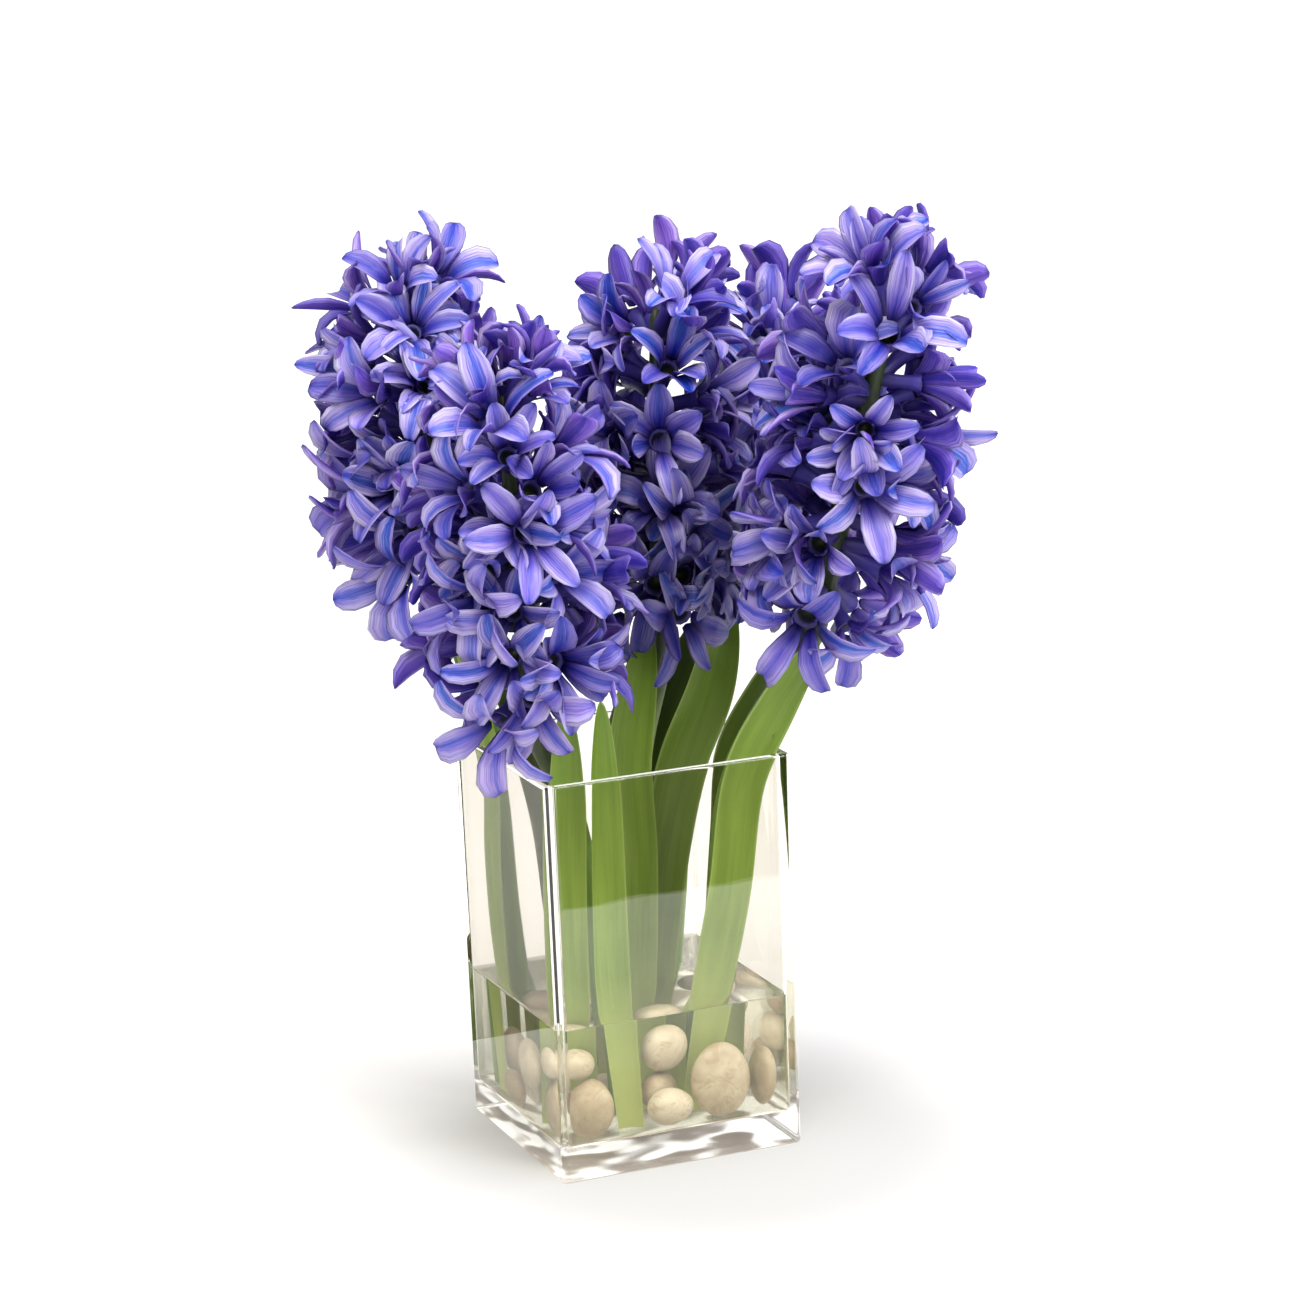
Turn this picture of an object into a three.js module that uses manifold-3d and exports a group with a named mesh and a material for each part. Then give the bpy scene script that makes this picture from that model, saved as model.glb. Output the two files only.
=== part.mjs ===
import * as THREE from "three";
import { mergeVertices } from "three/addons/utils/BufferGeometryUtils.js";
import Module from "manifold-3d";

const wasm = await Module();
wasm.setup();

// Hyacinths in a square glass vase. Millimetres, +Z up, origin at the centre of the vase's underside,
// the vase's front face towards -Y.

// Driving dimensions. Angles are in radians.
const GAP = 0.3;
const VASE = {
  side: 100,
  height: 155,
  footShare: 0.987,
  wall: 3.5,
  base: 13,
  corner: 2.4,
  edge: 1.2,
  innerEdge: 2,
  innerCorner: 2.2,
};
const WATER_LEVEL = 59;
const SCAPE = { radius: 4.8, sides: 8, steps: 10, lift: 1.2, straightEnd: 10 };
const CORE = { foot: 4.8, waist: 4.2, waistShare: 0.55, top: 2.4, nose: 4, sides: 7 };
const LEAF = {
  thickness: 0.9,
  channel: 2.2,
  segments: 9,
  footShare: 0.72,
  footEnd: 0.35,
  tipStart: 0.74,
  tipShare: 0.12,
};
const FLORET = {
  tube: 24,
  rootRadius: 2.4,
  rootDepth: 1.5,
  valleyRadius: 4.4,
  throat: 5,
  tepal: 25.5,
  tepalWidth: 11.6,
  widest: 0.58,
  edgeLift: 1,
  keel: 1.3,
  flare: [0.42, 1.55],
};
const HEAD = {
  florets: 20,
  goldenAngle: 2.39996,
  firstRoot: 5,
  lastRoot: 4,
  lowestTilt: 1.72,
  middleTilt: 1.5,
  highestTilt: 0.42,
  droopShare: 0.25,
  closing: 1.6,
  topSize: 0.86,
  topOpen: 0.8,
};
const SCATTER = {
  turn: 0.12,
  tilt: 0.1,
  size: 0.05,
  open: 0.08,
  roll: 0.52,
  angle: 0.12,
  length: 0.08,
  flare: 0.25,
};
const NEIGHBOUR = { margin: 1.8, knee: 14 };
const RIM = { clearance: 3, knee: 6, overhang: 6, slope: 1.3 };

// Colours and roughness read from the photograph
const GLASS = { color: 0xe6e6ea, roughness: 0.03 };
const WATER = { color: 0xd9dccf, roughness: 0.02 };
const STONE = { color: 0xc2b291, roughness: 0.6 };
const STALK = { color: 0x4c6a26, roughness: 0.5 };
const BLADE = { color: 0x6f9133, roughness: 0.42 };
const PETAL = { color: 0x6c5cc8, roughness: 0.5 };

// Each plant has its stalk's way up from the vase's floor, the two ends of its head's axis, and the
// direction in which its lowest floret faces, in radians from +X.
const PLANTS = [
  {
    name: "left",
    way: [[-27, 37, 0], [-32, 39, 80], [-37, 38, 145]],
    head: [[-52, 46, 221], [-54, 65, 321]],
    phase: 3.3,
  },
  {
    name: "front",
    way: [[-12, -2, 0], [-16, -6, 80], [-28, -14, 140]],
    head: [[-45, -29, 183], [-55, -39, 301]],
    phase: 3.7,
  },
  {
    name: "middle",
    way: [[-2, 10, 0], [4, 11, 80], [11, 6, 150]],
    head: [[19, -3, 206], [23, 2, 321]],
    phase: 5.2,
  },
  {
    name: "right",
    way: [[22, -12, 0], [28, -21, 80], [34, -28, 142]],
    head: [[61, -55, 212], [81, -86, 332]],
    phase: 4.1,
  },
  {
    name: "back",
    way: [[20, 20, 0], [27, 20, 80], [36, 20, 144]],
    head: [[64, 28, 207], [93, 37, 299]],
    phase: 0.4,
  },
];

// Each leaf: its middle line from foot to tip, the way its inner face looks at foot and tip in radians
// from +X, and its greatest width.
const TO_VIEWER = -1.95;
const LEAVES = [
  {
    points: [[-16, -31, 0], [-19.5, -31.5, 64], [-20, -31.5, 104], [-19.5, -31, 148], [-18.5, -30, 180]],
    facing: [TO_VIEWER, TO_VIEWER + 0.8],
    width: 14,
  },
  {
    points: [[-2, -8, 0], [-1, -8, 61], [0, -11, 114], [-2, -15, 151], [5, -12, 182], [11, -8, 198]],
    facing: [TO_VIEWER, TO_VIEWER - 0.2],
    width: 17,
  },
  {
    points: [
      [9, 2, 0],
      [9.5, 0.5, 60],
      [14, -1, 100],
      [24.5, -3, 145],
      [38, 0, 170],
      [50, 12, 190],
      [56, 20, 199],
    ],
    facing: [TO_VIEWER, TO_VIEWER + 0.1],
    width: 19,
  },
  {
    points: [[13, -22, 0], [19, -28, 50], [28, -35, 100], [35.3, -37.6, 146], [45.5, -47, 173], [57, -61, 200]],
    facing: [TO_VIEWER, TO_VIEWER],
    width: 16,
  },
  {
    points: [[33, -4, 0], [34, -10, 70], [36, -17, 120], [38, -21, 150], [47, -31, 176], [55, -42, 197]],
    facing: [TO_VIEWER + 0.2, TO_VIEWER - 0.3],
    width: 13.5,
  },
  {
    points: [[-34, 25, 0], [-39, 26, 60], [-41.5, 25, 107], [-41.5, 24, 145], [-46, 27, 172], [-53, 33, 200]],
    facing: [3.1, 3.3],
    width: 15,
  },
  {
    points: [[-8, 34, 0], [-9, 36, 70], [-14, 39, 130], [-27, 46, 175], [-42, 52, 207]],
    facing: [1.4, 1.5],
    width: 17,
  },
  {
    points: [[24, 34, 0], [28, 36, 80], [34, 36, 150], [46, 37, 175], [58, 33, 198]],
    facing: [1.0, 1.1],
    width: 18,
  },
  {
    points: [[2, 24, 0], [4, 27, 80], [6, 24, 130], [12, 14, 165], [17, 6, 197]],
    facing: [1.5, 1.4],
    width: 16,
  },
  {
    points: [[-30, -17, 0], [-33, -23, 50], [-35.5, -30, 100], [-35.5, -35, 150], [-35, -36, 181]],
    facing: [TO_VIEWER, TO_VIEWER],
    width: 13.5,
  },
];

// Each pebble: its wanted place on the floor, its half sizes and its turn and tilt in radians. A later
// pebble settles in the lowest free place at or near its spot.
const PEBBLES = [
  { at: [-34, -35], half: [8, 11, 11.5], turn: 0.5, tilt: 0.25 },
  { at: [19, -37], half: [12.5, 7, 13.5], turn: 0.05, tilt: -0.1 },
  { at: [39.5, -29], half: [5, 9, 11.5], turn: 0.1, tilt: 0.1 },
  { at: [-4, -38], half: [9.5, 6.5, 7.5], turn: -0.2, tilt: 0.1 },
  { at: [-36, -8], half: [8.5, 12, 10], turn: 0.1, tilt: 0.2 },
  { at: [-8, 2], half: [10, 8, 7], turn: 0.9, tilt: 0.2 },
  { at: [38, 4], half: [7, 10, 8], turn: -0.2, tilt: 0.2 },
  { at: [-36, 30], half: [9, 11, 9], turn: 0.7, tilt: 0.1 },
  { at: [7, 38], half: [8, 6.5, 7.5], turn: 0.1, tilt: 0.2 },
  { at: [38, 38], half: [8, 8, 7.5], turn: 0.4, tilt: 0 },
  { at: [-2, -24], half: [8.5, 7, 7.5], turn: 0.6, tilt: 0.1 },
  { at: [0, -25], half: [9.5, 8.5, 10], turn: 0.3, tilt: 0.2 },
  { at: [-37, -24], half: [7.5, 7, 6.5], turn: 1.2, tilt: 0.2 },
  { at: [36, -8], half: [8, 7, 7.5], turn: 0.8, tilt: -0.2 },
  { at: [-36, 12], half: [7.5, 9, 6.5], turn: 0.4, tilt: 0.2 },
];
const SETTLE = { step: 1, finest: 0.02, ring: 3, rings: 6, spokes: 8, clearance: 0.35 };
const PEBBLE_SWELL = { long: 0.07, longRate: 2.3, cross: 0.05, crossRate: 3.1 };

// A fixed draw between -1 and 1 for a given pair of numbers
function wobble(seed, channel) {
  const raw = Math.sin(seed * 12.9898 + channel * 78.233) * 43758.5453;
  return 2 * (raw - Math.floor(raw)) - 1;
}

function vector(point) {
  return new THREE.Vector3(point[0], point[1], point[2]);
}

// Closed solid of a geometry, with its shared vertices merged
function solidOf(geometry) {
  const bare = geometry.index ? geometry.toNonIndexed() : geometry.clone();
  bare.deleteAttribute("normal");
  bare.deleteAttribute("uv");
  const merged = mergeVertices(bare, 1e-4);
  const vertProperties = merged.attributes.position.array;
  const triVerts = new Uint32Array(merged.index.array);
  return new wasm.Manifold(new wasm.Mesh({ numProp: 3, vertProperties, triVerts }));
}

function geometryOf(solid) {
  const made = solid.getMesh();
  const geometry = new THREE.BufferGeometry();
  geometry.setAttribute("position", new THREE.BufferAttribute(new Float32Array(made.vertProperties), 3));
  geometry.setIndex(new THREE.BufferAttribute(new Uint32Array(made.triVerts), 1));
  geometry.computeVertexNormals();
  return geometry;
}

function geometryFrom(points, triangles) {
  const geometry = new THREE.BufferGeometry();
  geometry.setAttribute("position", new THREE.Float32BufferAttribute(points.flatMap((p) => p.toArray()), 3));
  geometry.setIndex(triangles.flat());
  geometry.computeVertexNormals();
  return geometry;
}

function meshOf(name, geometry, finish) {
  const mesh = new THREE.Mesh(geometry, new THREE.MeshStandardMaterial({ ...finish, metalness: 0 }));
  mesh.name = name;
  return mesh;
}

// Vase and water

function roundedSquare(side, radius) {
  const far = side / 2;
  const near = far - radius;
  const quarter = Math.PI / 2;
  const shape = new THREE.Shape();
  shape.moveTo(-near, -far);
  shape.lineTo(near, -far);
  shape.absarc(near, -near, radius, -quarter, 0);
  shape.lineTo(far, near);
  shape.absarc(near, near, radius, 0, quarter);
  shape.lineTo(-near, far);
  shape.absarc(-near, near, radius, quarter, 2 * quarter);
  shape.lineTo(-far, -near);
  shape.absarc(-near, -near, radius, 2 * quarter, 3 * quarter);
  return shape;
}

// An upright square block with rounded corners and edges, narrowing towards the foot as the vase does
function squareBlock(side, radius, edge, from, to) {
  const geometry = new THREE.ExtrudeGeometry(roundedSquare(side, radius), {
    depth: to - from - 2 * edge,
    curveSegments: 2,
    bevelThickness: edge,
    bevelSize: edge,
    bevelOffset: -edge,
    bevelSegments: 1,
  });
  geometry.translate(0, 0, from + edge);
  const place = geometry.attributes.position;
  for (let i = 0; i < place.count; i++) {
    const share = VASE.footShare + ((1 - VASE.footShare) * place.getZ(i)) / VASE.height;
    place.setX(i, place.getX(i) * share);
    place.setY(i, place.getY(i) * share);
  }
  return geometry;
}

const INNER_SIDE = VASE.side - 2 * VASE.wall;

function vaseGeometry() {
  const outside = solidOf(squareBlock(VASE.side, VASE.corner, VASE.edge, 0, VASE.height));
  const open = VASE.height + VASE.base;
  const inside = solidOf(squareBlock(INNER_SIDE, VASE.innerCorner, VASE.innerEdge, VASE.base, open));
  return geometryOf(outside.subtract(inside));
}

// Water up to its level, less everything that stands or lies in it
function waterGeometry(sunk) {
  const side = INNER_SIDE - 2 * GAP;
  const full = solidOf(squareBlock(side, VASE.innerCorner, VASE.innerEdge, VASE.base + GAP, VASE.height));
  const below = new THREE.BoxGeometry(VASE.side, VASE.side, WATER_LEVEL);
  below.translate(0, 0, WATER_LEVEL / 2);
  const body = full.intersect(solidOf(below)).subtract(wasm.Manifold.union(sunk));
  const pools = body.decompose();
  pools.sort((a, b) => b.volume() - a.volume());
  return geometryOf(pools[0]);
}

// Stalks

function headAxis(plant) {
  const [foot, top] = plant.head.map(vector);
  return { foot, top, along: top.clone().sub(foot).normalize(), length: top.distanceTo(foot) };
}

function scapeCurve(plant, footHeight) {
  const { foot, along } = headAxis(plant);
  const top = foot.clone().addScaledVector(along, -GAP);
  const points = plant.way.map(vector);
  points[0].z = footHeight;
  return new THREE.CatmullRomCurve3([...points, top.clone().addScaledVector(along, -SCAPE.straightEnd), top]);
}

function scapeGeometry(plant, grow) {
  const clear = grow ? (SCAPE.radius + grow) / Math.cos(Math.PI / SCAPE.sides) : SCAPE.radius;
  const section = new THREE.Shape();
  section.absarc(0, 0, clear, 0, 2 * Math.PI);
  return new THREE.ExtrudeGeometry(section, {
    curveSegments: SCAPE.sides / 2,
    steps: SCAPE.steps,
    bevelEnabled: false,
    extrudePath: scapeCurve(plant, VASE.base + (grow ? -SCAPE.lift : SCAPE.lift)),
  });
}

// Leaves

// Share of the full width at a share of the length: narrow at the foot, full in the middle, and pointed
function leafBreadth(share) {
  const foot = LEAF.footShare + (1 - LEAF.footShare) * Math.min(1, share / LEAF.footEnd);
  const towardsTip = Math.max(0, (share - LEAF.tipStart) / (1 - LEAF.tipStart));
  return Math.max(foot * Math.sqrt(1 - towardsTip ** 2), LEAF.tipShare);
}

// A channelled blade of even thickness: three points across, on an upper and a lower face
function leafGeometry(leaf, grow) {
  const points = leaf.points.map(vector);
  points[0].z = VASE.base + GAP - 3 * grow;
  const curve = new THREE.CatmullRomCurve3(points);
  const upper = [];
  const lower = [];
  for (let i = 0; i <= LEAF.segments; i++) {
    const share = i / LEAF.segments;
    const middle = curve.getPointAt(share);
    const along = curve.getTangentAt(share);
    const turn = THREE.MathUtils.lerp(leaf.facing[0], leaf.facing[1], share);
    const side = new THREE.Vector3(Math.cos(turn), Math.sin(turn), 0).cross(along).normalize();
    const out = along.clone().cross(side);
    const half = (leafBreadth(share) * leaf.width) / 2 + grow;
    const depth = (LEAF.channel * half) / (leaf.width / 2);
    const cover = out.clone().multiplyScalar(LEAF.thickness / 2 + grow);
    for (const across of [-1, 0, 1]) {
      const spot = middle.clone().addScaledVector(side, across * half);
      spot.addScaledVector(out, depth * (Math.abs(across) - 0.5));
      const faces = [spot.clone().add(cover), spot.clone().sub(cover)];
      if (i === 0) faces.forEach((face) => (face.z = points[0].z));
      upper.push(faces[0]);
      lower.push(faces[1]);
    }
  }
  return geometryFrom([...upper, ...lower], bladeTriangles(LEAF.segments + 1, upper.length));
}

// Triangles of a blade of rows of three, split alike on the upper and the lower face
function bladeTriangles(rows, lower) {
  const triangles = [];
  for (let i = 0; i < rows - 1; i++) {
    for (const j of [0, 1]) {
      const a = 3 * i + j;
      const b = a + 1;
      const c = a + 4;
      const d = a + 3;
      triangles.push([a, c, b], [a, d, c]);
      triangles.push([lower + a, lower + b, lower + c], [lower + a, lower + c, lower + d]);
    }
    const [left, right] = [3 * i, 3 * i + 2];
    triangles.push([left, lower + left + 3, left + 3], [left, lower + left, lower + left + 3]);
    triangles.push([right, right + 3, lower + right + 3], [right, lower + right + 3, lower + right]);
  }
  for (const j of [0, 1]) {
    const k = 3 * (rows - 1) + j;
    triangles.push([j, lower + j + 1, lower + j], [j, j + 1, lower + j + 1]);
    triangles.push([k, lower + k, lower + k + 1], [k, lower + k + 1, k + 1]);
  }
  return triangles;
}

// Pebbles

function pebbleGeometry(pebble, seed, grow) {
  const geometry = new THREE.IcosahedronGeometry(1, 1);
  const place = geometry.attributes.position;
  const [a, b, c] = pebble.half;
  const point = new THREE.Vector3();
  for (let i = 0; i < place.count; i++) {
    point.fromBufferAttribute(place, i);
    const long = PEBBLE_SWELL.long * Math.sin(PEBBLE_SWELL.longRate * point.x + seed);
    const cross = PEBBLE_SWELL.cross * Math.sin(PEBBLE_SWELL.crossRate * point.y + 2 * seed);
    const swell = 1 + long + cross;
    place.setXYZ(i, point.x * (a * swell + grow), point.y * (b * swell + grow), point.z * (c * swell + grow));
  }
  return geometry;
}

function pebblePose(pebble, x, y, z) {
  const turn = new THREE.Euler(pebble.tilt, pebble.tilt / 2, pebble.turn, "ZXY");
  const pose = new THREE.Matrix4().makeRotationFromEuler(turn);
  return pose.setPosition(x, y, z);
}

function overlaps(solid, others) {
  return others.some((other) => solid.intersect(other).volume() > 0);
}

// The lowest free place for a pebble at its wanted spot, or on rings round it
function settledPose(pebble, grown, obstacles) {
  for (let ring = 0; ring <= SETTLE.rings; ring++) {
    const poses = [];
    for (let spoke = 0; spoke < (ring ? SETTLE.spokes : 1); spoke++) {
      const angle = (2 * Math.PI * spoke) / SETTLE.spokes;
      const x = pebble.at[0] + ring * SETTLE.ring * Math.cos(angle);
      const y = pebble.at[1] + ring * SETTLE.ring * Math.sin(angle);
      const placed = (z) => solidOf(grown.clone().applyMatrix4(pebblePose(pebble, x, y, z)));
      const fits = (z) => !overlaps(placed(z), obstacles);
      const smallest = Math.min(...pebble.half);
      const highest = WATER_LEVEL - smallest - SETTLE.step;
      let z = VASE.base + smallest - SETTLE.step;
      while (z < highest && !fits(z)) z += SETTLE.step;
      if (z >= highest) continue;
      for (let drop = SETTLE.step / 2; drop > SETTLE.finest; drop /= 2) {
        if (fits(z - drop)) z -= drop;
      }
      poses.push({ pose: pebblePose(pebble, x, y, z), z });
    }
    if (poses.length) return poses.sort((a, b) => a.z - b.z)[0].pose;
  }
  throw new Error("no free place for the pebble at " + pebble.at);
}

// Heads

// The upright wall midway between two heads' axes, looking from the first to the second
function wallBetween(first, second) {
  const [a, b] = [headAxis(first), headAxis(second)];
  const footMiddle = a.foot.clone().lerp(b.foot, 0.5);
  const topMiddle = a.top.clone().lerp(b.top, 0.5);
  const up = topMiddle.clone().sub(footMiddle).normalize();
  const across = b.foot.clone().sub(a.foot).add(b.top.clone().sub(a.top));
  across.addScaledVector(up, -across.dot(up)).normalize();
  return { point: footMiddle, across };
}

// Eases a point of a head back behind the walls to its neighbours, so that heads press but never cross
function easeBehind(point, walls) {
  const room = NEIGHBOUR.knee - NEIGHBOUR.margin;
  for (const wall of walls) {
    const beyond = point.clone().sub(wall.point).dot(wall.across) + NEIGHBOUR.knee;
    if (beyond > 0) point.addScaledVector(wall.across, room * (1 - Math.exp(-beyond / room)) - beyond);
  }
  return point;
}

// Lifts a point of a head clear of the vase's rim. Outside the vase it may hang lower.
function liftOffVase(point) {
  const outside = Math.max(Math.abs(point.x), Math.abs(point.y)) - VASE.side / 2;
  const floor = VASE.height + RIM.clearance - RIM.slope * Math.max(0, outside - RIM.overhang);
  const above = point.z - floor;
  if (above < RIM.knee) point.z = floor + RIM.knee * Math.exp(above / RIM.knee - 1);
  return point;
}

// A point of a tepal's middle line: its distance from the tube's axis and its height along it. The tepal
// leaves the tube at the first flare angle and curls steadily to the second.
function tepalPoint(share, length, flare) {
  const bend = flare[1] - flare[0];
  const turned = flare[0] + bend * share;
  return {
    radius: FLORET.valleyRadius + (length * (Math.cos(flare[0]) - Math.cos(turned))) / bend,
    height: FLORET.tube + (length * (Math.sin(turned) - Math.sin(flare[0]))) / bend,
  };
}

// One floret: a narrow tube, six tepals in a ring, and a throat between them. place(x, y, z) puts a point
// of the floret in the head, and bend moves it clear of the neighbours.
function floretGeometry(seed, open, place, bend) {
  const points = [];
  const triangles = [];
  const polar = (radius, angle, height) => place(radius * Math.cos(angle), radius * Math.sin(angle), height);
  const add = (point) => points.push(point) - 1;
  const root = [0, 1, 2].map((i) => add(polar(FLORET.rootRadius, (2 * Math.PI * i) / 3, FLORET.rootDepth)));
  const throat = add(polar(0, 0, FLORET.tube - FLORET.throat));
  const valleys = [];
  for (let i = 0; i < 6; i++) {
    valleys.push(add(bend(polar(FLORET.valleyRadius, ((i + 0.5) * Math.PI) / 3, FLORET.tube))));
  }
  for (let i = 0; i < 6; i++) {
    const angle = (i * Math.PI) / 3 + SCATTER.angle * wobble(seed, i);
    const length = FLORET.tepal * (1 + SCATTER.length * wobble(seed, i + 10));
    const flare = [FLORET.flare[0] * open, FLORET.flare[1] * open + SCATTER.flare * wobble(seed, i + 20)];
    const middle = tepalPoint(FLORET.widest, length, flare);
    const end = tepalPoint(1, length, flare);
    const spread = Math.atan(FLORET.tepalWidth / 2 / middle.radius);
    const reach = middle.radius / Math.cos(spread);
    const before = valleys[(i + 5) % 6];
    const after = valleys[i];
    const foot = root[i >> 1];
    const right = add(bend(polar(reach, angle - spread, middle.height + FLORET.edgeLift)));
    const left = add(bend(polar(reach, angle + spread, middle.height + FLORET.edgeLift)));
    const tip = add(bend(polar(end.radius, angle, end.height)));
    const midrib = polar(middle.radius, angle, middle.height);
    const under = polar(middle.radius, angle, middle.height - FLORET.keel).sub(midrib);
    const keel = add(bend(midrib).add(under));
    triangles.push([throat, before, after], [before, right, after], [right, left, after], [right, tip, left]);
    triangles.push([keel, after, left], [keel, left, tip], [keel, tip, right], [keel, right, before]);
    triangles.push([keel, before, foot], [keel, foot, after]);
    if (i % 2) triangles.push([foot, root[((i >> 1) + 1) % 3], after]);
  }
  triangles.push([root[0], root[2], root[1]]);
  return geometryFrom(points, triangles);
}

function coreGeometry(axis) {
  const profile = [
    [0, 0],
    [CORE.foot, 0],
    [CORE.waist, axis.length * CORE.waistShare],
    [CORE.top, axis.length - CORE.nose],
    [0, axis.length],
  ];
  const core = new THREE.LatheGeometry(profile.map(([r, h]) => new THREE.Vector2(r, h)), CORE.sides);
  core.applyQuaternion(new THREE.Quaternion().setFromUnitVectors(new THREE.Vector3(0, 1, 0), axis.along));
  return core;
}

// One head: florets on a golden-angle spiral up a slim core, drooping at the foot and closing at the top
function headGeometry(plant, index) {
  const axis = headAxis(plant);
  const others = PLANTS.filter((other) => other !== plant);
  const walls = others.map((other) => wallBetween(plant, other));
  const bend = (point) => liftOffVase(easeBehind(point.add(axis.foot), walls)).sub(axis.foot);
  const across = new THREE.Vector3(1, 0, 0).addScaledVector(axis.along, -axis.along.x).normalize();
  const aside = axis.along.clone().cross(across);
  const bodies = [solidOf(coreGeometry(axis))];
  for (let k = 0; k < HEAD.florets; k++) {
    const seed = 100 * index + k;
    const share = (k + 0.5) / HEAD.florets;
    const rise = share * share;
    const low = Math.max(0, 1 - share / HEAD.droopShare);
    const upright = THREE.MathUtils.lerp(HEAD.middleTilt, HEAD.highestTilt, rise ** HEAD.closing);
    const tilt = upright + (HEAD.lowestTilt - HEAD.middleTilt) * low + SCATTER.tilt * wobble(seed, 32);
    const size = THREE.MathUtils.lerp(1, HEAD.topSize, rise) * (1 + SCATTER.size * wobble(seed, 33));
    const open = THREE.MathUtils.lerp(1, HEAD.topOpen, rise) + SCATTER.open * wobble(seed, 34);
    const turn = plant.phase + k * HEAD.goldenAngle + SCATTER.turn * wobble(seed, 31);
    const radial = across.clone().multiplyScalar(Math.cos(turn)).addScaledVector(aside, Math.sin(turn));
    const out = radial.clone().multiplyScalar(Math.sin(tilt)).addScaledVector(axis.along, Math.cos(tilt));
    const first = axis.along.clone().cross(radial).applyAxisAngle(out, SCATTER.roll * wobble(seed, 35));
    const second = out.clone().cross(first);
    const climb = HEAD.firstRoot + share * (axis.length - HEAD.firstRoot - HEAD.lastRoot);
    const root = axis.along.clone().multiplyScalar(climb);
    const place = (x, y, z) =>
      root
        .clone()
        .addScaledVector(first, x * size)
        .addScaledVector(second, y * size)
        .addScaledVector(out, z * size);
    bodies.push(solidOf(floretGeometry(seed, open, place, bend)));
  }
  return geometryOf(wasm.Manifold.union(bodies));
}

// Assembly

const arrangement = new THREE.Group();
const vase = meshOf("vase", vaseGeometry(), GLASS);
const sunk = [];
const standing = [];

PLANTS.forEach((plant, index) => {
  const group = new THREE.Group();
  const scape = meshOf("scape_" + plant.name, scapeGeometry(plant, 0), STALK);
  const flower = meshOf("flower_" + plant.name, headGeometry(plant, index), PETAL);
  flower.position.copy(headAxis(plant).foot);
  group.add(scape, flower);
  arrangement.add(group);
  standing.push(solidOf(scape.geometry));
  sunk.push(solidOf(scapeGeometry(plant, GAP)));
});

const leaves = new THREE.Group();
LEAVES.forEach((leaf, index) => {
  const mesh = meshOf("leaf_" + String(index + 1).padStart(2, "0"), leafGeometry(leaf, 0), BLADE);
  leaves.add(mesh);
  standing.push(solidOf(mesh.geometry));
  sunk.push(solidOf(leafGeometry(leaf, GAP)));
});

const bed = new THREE.Group();
const obstacles = [solidOf(vase.geometry), ...standing];
PEBBLES.forEach((pebble, index) => {
  const pose = settledPose(pebble, pebbleGeometry(pebble, index, SETTLE.clearance), obstacles);
  const name = "pebble_" + String(index + 1).padStart(2, "0");
  const mesh = meshOf(name, pebbleGeometry(pebble, index, 0), STONE);
  mesh.applyMatrix4(pose);
  bed.add(mesh);
  obstacles.push(solidOf(mesh.geometry.clone().applyMatrix4(pose)));
  sunk.push(solidOf(pebbleGeometry(pebble, index, GAP).applyMatrix4(pose)));
});

arrangement.add(vase, meshOf("water", waterGeometry(sunk), WATER), leaves, bed);

export default arrangement;
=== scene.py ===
"""Hyacinths in a square glass vase: the finished look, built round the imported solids.

The sizes in the classes are millimetres, as in the solids' source. A piece is scaled to metres when placed.
"""

import sys
import logging
import math
from collections.abc import Callable, Sequence
from dataclasses import dataclass, field
from enum import Enum, IntEnum
from functools import cached_property

import bmesh
import bpy
from mathutils import Matrix, Vector

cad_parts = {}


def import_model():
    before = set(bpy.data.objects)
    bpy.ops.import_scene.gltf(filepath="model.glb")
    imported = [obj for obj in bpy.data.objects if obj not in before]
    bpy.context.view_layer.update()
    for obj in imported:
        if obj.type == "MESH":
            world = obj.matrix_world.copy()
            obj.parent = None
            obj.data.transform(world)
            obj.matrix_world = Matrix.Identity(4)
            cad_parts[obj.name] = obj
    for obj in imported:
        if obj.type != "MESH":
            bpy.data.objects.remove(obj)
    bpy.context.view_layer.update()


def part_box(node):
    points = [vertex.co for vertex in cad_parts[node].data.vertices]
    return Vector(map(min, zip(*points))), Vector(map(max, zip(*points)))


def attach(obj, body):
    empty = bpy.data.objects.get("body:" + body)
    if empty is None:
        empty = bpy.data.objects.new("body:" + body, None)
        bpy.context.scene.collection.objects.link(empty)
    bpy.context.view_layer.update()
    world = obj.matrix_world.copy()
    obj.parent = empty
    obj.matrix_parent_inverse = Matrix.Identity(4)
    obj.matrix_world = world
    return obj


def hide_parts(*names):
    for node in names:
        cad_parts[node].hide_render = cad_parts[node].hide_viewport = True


LOG = logging.getLogger("hyacinths")
MM = 0.001
BODY = "root"
BLADE_MARKS = ("across", "along", "tint", "shade")
BLACK = "000000"
WHITE = "ffffff"
FLORET_SEEDS = 100
FILLER_SEEDS = 20
HEAD_SEEDS = 1000
SEED_RATE = 12.9898
CHANNEL_RATE = 78.233
DRAW_RATE = 43758.5453
LEVEL_WITHIN = 0.01
REAL_CORNER = 0.9
FACES_UP = 0.9
SAME_PLACE = 1e-6
MERGED_WITHIN = 1e-4

Pair = tuple[float, float]
Triple = tuple[float, float, float]
Tones = tuple[tuple[float, str], ...]
Tree = bpy.types.NodeTree
Socket = bpy.types.NodeSocket
Material = bpy.types.Material
Piece = bpy.types.Object
Shape = bmesh.types.BMesh
Placer = Callable[[float, float, float], Vector]


class Slot(Enum):
    """The material slots' names."""

    GLASS = "clear_glass"
    WATER = "still_water"
    STONE = "beach_pebble"
    LEAF = "strap_leaf"
    STALK = "fleshy_stalk"
    TEPAL = "violet_tepals"


class HeadSkin(Enum):
    """The skins of a head, by material index: a tepal's face looks into the floret, its back away from it."""

    FACE = 0
    BACK = 1
    TUBE = 2
    CORE = 3


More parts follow.
